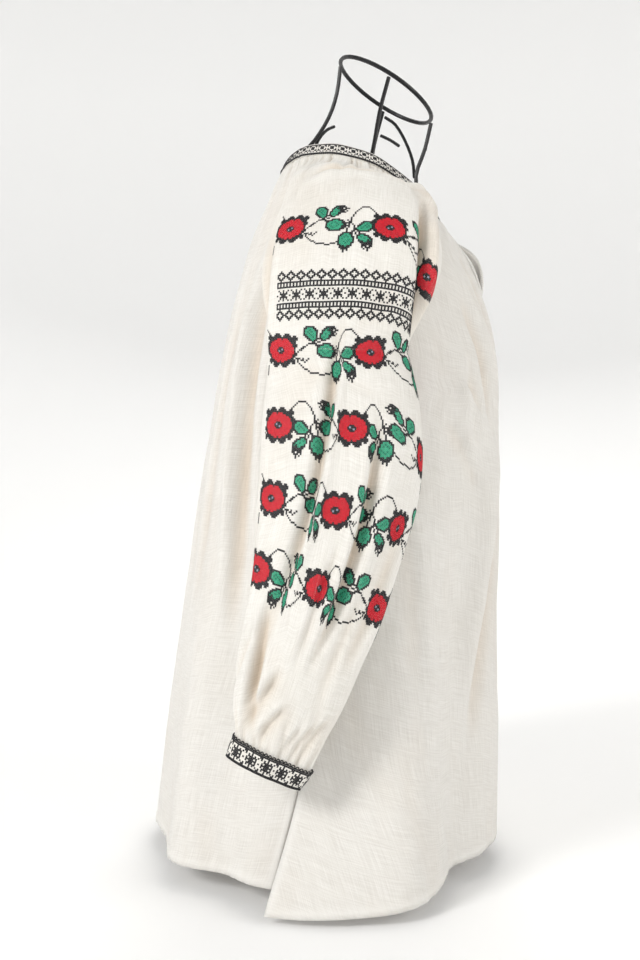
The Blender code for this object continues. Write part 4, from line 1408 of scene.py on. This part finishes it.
neck_group = ring_squares(band, NECK_CHART, 0.00145, 0.00140, 0.0012)
neck_stitches = add_stitches("stitches_neckband", [neck_group], "K")
for name, (cuff, _) in cuffs.items():
    group = ring_squares(cuff, CUFF_CHART, 0.0016, 0.00155, 0.0014)
    add_stitches("stitches_cuff_" + name, [group], "K")

# %% [markdown]
# ## Cords
#
# A thick black cord is couched along the foot of the neckband, thinner ones run along both edges
# of each cuff, and small scallops stand on the cuff's upper edge. All are tubes swept along a
# line. The thick cord's tube swells and narrows along its length, as plied thread does.


# %% Sweeping a tube
def tube(line, radius, sides, closed):
    """Vertices and faces of a tube round a line of points, with flat or joined ends."""
    count = len(line)
    if closed:
        tangent = unit(np.roll(line, -1, axis=0) - np.roll(line, 1, axis=0))
    else:
        tangent = unit(np.gradient(line, axis=0))
    side = np.cross(tangent, np.array([0.0, 0.0, 1.0]))
    weak = np.linalg.norm(side, axis=1) < 1e-6
    side[weak] = np.cross(tangent[weak], np.array([0.0, 1.0, 0.0]))
    side = unit(side)
    up = np.cross(side, tangent)
    angle = (2.0 * np.pi * np.arange(sides) / sides)[None, :, None]
    radius = np.broadcast_to(radius, (count,))[:, None, None]
    ring = side[:, None] * np.cos(angle) + up[:, None] * np.sin(angle)
    vertices = (line[:, None] + ring * radius).reshape(-1, 3)
    faces = []
    for i in range(count if closed else count - 1):
        here, ahead = i * sides, (i + 1) % count * sides
        for k in range(sides):
            m = (k + 1) % sides
            faces.append((here + k, here + m, ahead + m, ahead + k))
    if not closed:
        faces.append(tuple(range(sides))[::-1])
        faces.append(tuple((count - 1) * sides + k for k in range(sides)))
    return vertices, faces


def add_tubes(name, tubes, finish):
    """One mesh piece of several tubes, each (line, radius, sides, closed)."""
    vertices, faces, offset = [], [], 0
    for part in tubes:
        v, f = tube(*part)
        vertices.append(v)
        faces += [tuple(i + offset for i in face) for face in f]
        offset += len(v)
    mesh = bpy.data.meshes.new(name)
    mesh.from_pydata(np.concatenate(vertices).tolist(), [], faces)
    mesh.shade_smooth()
    piece = add_object(name, mesh)
    select_only(piece)
    bpy.ops.object.mode_set(mode="EDIT")
    bpy.ops.mesh.select_all(action="SELECT")
    bpy.ops.mesh.normals_make_consistent(inside=False)
    bpy.ops.object.mode_set(mode="OBJECT")
    piece.data.materials.append(finish)
    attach(piece, "root")
    print(name, "has", len(mesh.polygons), "faces")
    return piece


# %% Cord along the neckband
CORD_RADIUS, CORD_TWIST, CORD_SWELL = 0.00115, 0.0026, 0.22
CORD_POINTS, CORD_INSET, CORD_PROUD = 520, 0.0009, 0.0003


def twisted(line):
    """Radius that swells and narrows as a plied cord's does."""
    turns = lengths_along(line) / CORD_TWIST
    return CORD_RADIUS * (1.0 + CORD_SWELL * np.sin(2.0 * np.pi * turns))


def along_band(cloth, below, count, lift, closed=False):
    """Points that follow a band, this far below its upper edge and this far off its cloth."""
    low, high = float(cloth.across[0].min()), float(cloth.across[0].max())
    places = np.linspace(low, high, count + 1)[:-1] if closed else np.linspace(low, high, count)
    point, normal = cloth.sample(0.0, places, np.full(len(places), below))
    return point + normal * lift


cord_down = BAND_HEIGHT + BAND_OVERLAP - CORD_INSET
cord_line = along_band(band, cord_down, CORD_POINTS, CORD_PROUD)
neck_cord = add_tubes("neck_cord", [(cord_line, twisted(cord_line), 6, False)],
                      FLOSS["K"])

# %% Edging and scallops of the cuffs
EDGING_RADIUS, SCALLOP_RADIUS, SCALLOP_RISE = 0.0006, 0.00055, 0.0017
SCALLOPS, SCALLOP_POINTS = 52, 6
EDGINGS = (0.0006, 0.0187)  # down from the cuff's upper edge

for name, (cuff, _) in cuffs.items():
    tubes = [(along_band(cuff, below, 240, 0.0004, closed=True), EDGING_RADIUS, 6, True)
             for below in EDGINGS]
    places = along_band(cuff, 0.0, SCALLOPS * SCALLOP_POINTS, 0.0006, closed=True)
    centre = places.mean(axis=0)
    upward = np.cross(places[SCALLOPS] - centre, places[0] - centre)
    upward *= np.sign(upward[2]) / np.linalg.norm(upward)
    rise = SCALLOP_RISE * np.sin(np.pi * np.linspace(0.0, 1.0, SCALLOP_POINTS))[:, None]
    for arch in places.reshape(SCALLOPS, SCALLOP_POINTS, 3):
        tubes.append((arch + upward * rise, SCALLOP_RADIUS, 5, False))
    add_tubes("cuff_scallops_" + name, tubes, FLOSS["K"])

# %% [markdown]
# ## Crochet braid on the slit
#
# The braid on each edge of the neck slit is white crochet. Three strands weave from side to side
# and over each other as the braid runs down, which is near enough to the looped original.

# %% Crochet yarn
WHITE_YARN = make_thread("white_yarn", (0.90, 0.89, 0.86), (0.66, 0.64, 0.60),
                         (("Roughness", 0.75), ("Sheen Weight", 0.3)),
                         (900.0, 3.0), (900.0, 3.0), 0.0003)


# %% Braids
BRAID_POINTS = 220
BRAID_WIDTH, BRAID_THICKNESS, BRAID_PITCH, STRAND_RADIUS = 0.0062, 0.0018, 0.0074, 0.00120
BRAID_INSET, BRAID_PROUD = 0.0030, 0.0016
BESIDE_LIP = 12             # columns away from the lip, to tell which way the cloth runs


def braid(line, sideways, outward):
    """Three strands that swing across a line and over each other."""
    strands = []
    for k in range(3):
        phase = 2.0 * np.pi * (lengths_along(line) / BRAID_PITCH + k / 3.0)
        swing = (np.sin(phase) * BRAID_WIDTH / 2)[:, None]
        rise = (np.sin(2.0 * phase) * BRAID_THICKNESS / 2)[:, None]
        strands.append((line + sideways * swing + outward * rise, STRAND_RADIUS, 6, False))
    return strands


for name, side in SIDES.items():
    lip = FRONT_HALF if side == RIGHT else FRONT_HALF + 1
    beside = lip - BESIDE_LIP if side == RIGHT else lip + BESIDE_LIP
    edge = front.points[:slit_row, lip]
    edge_line = even_ring(edge, BRAID_POINTS, closed=False)
    across = front.points[:slit_row, beside] - edge
    places, rows = np.linspace(0.0, 1.0, BRAID_POINTS), np.linspace(0.0, 1.0, slit_row)
    toward = unit(np.stack([np.interp(places, rows, across[:, k]) for k in range(3)], axis=-1))
    outward = unit(np.cross(toward, np.gradient(edge_line, axis=0)))
    outward *= np.sign(-outward[:, 1:2])
    line = edge_line + toward * BRAID_INSET + outward * BRAID_PROUD
    strands = braid(line, toward, outward)
    braid_piece = add_tubes("crochet_braid_" + name, strands, WHITE_YARN)
    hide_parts("slit_edging_" + name)

# %% [markdown]
# ## Wire form
#
# The form is bent from round wire and dipped in black paint, which is satin and a little uneven.
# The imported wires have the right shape, so they stay and get the finish.

# %% Painted wire
wire_paint, paint_tree, paint = new_finish("black_wire_paint", (
    ("Base Color", (0.006, 0.006, 0.007, 1.0)),
    ("Specular IOR Level", 0.28),
    ("Coat Weight", 0.08),
    ("Coat Roughness", 0.3),
))
drips = add_noise(paint_tree, 160.0, 3.0)
paint_range = add_node(paint_tree, "ShaderNodeMapRange", (("To Min", 0.30), ("To Max", 0.50)))
link(paint_tree, drips, paint_range.inputs["Value"])
link(paint_tree, paint_range.outputs["Result"], paint.inputs["Roughness"])
add_relief(paint_tree, paint, drips, 0.25, 0.0005)
WIRES = [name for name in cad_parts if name.startswith(("wire_", "brace_", "neck_ring"))
         or name.endswith("_ring")]
for name in WIRES:
    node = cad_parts[name]
    node.data.materials.clear()
    node.data.materials.append(wire_paint)
print(len(WIRES), "painted wires")

# %% [markdown]
# ## Sizes of the sheets
#
# Last, each sheet's cloth is printed with how large it was when cut: its widest, its longest
# and its area. The front and back are flared, and the sleeves narrow to the neck and to the
# cuff, so each is cut from a rectangle as wide and as long as the cloth measures, and its own
# area is less. The areas are the cloth's own as modelled; more cloth may be hidden in a real
# gather than these show.

# %% Sheets
for label, cloth in (("front", front), ("back", back), ("right sleeve", right),
                     ("left sleeve", left)):
    print(label, "is", round(float(cloth.width.max()), 3), "m at its widest,",
          round(float(cloth.down[-1].max()), 3), "m at its longest and",
          round(cloth.area(), 3), "m2")
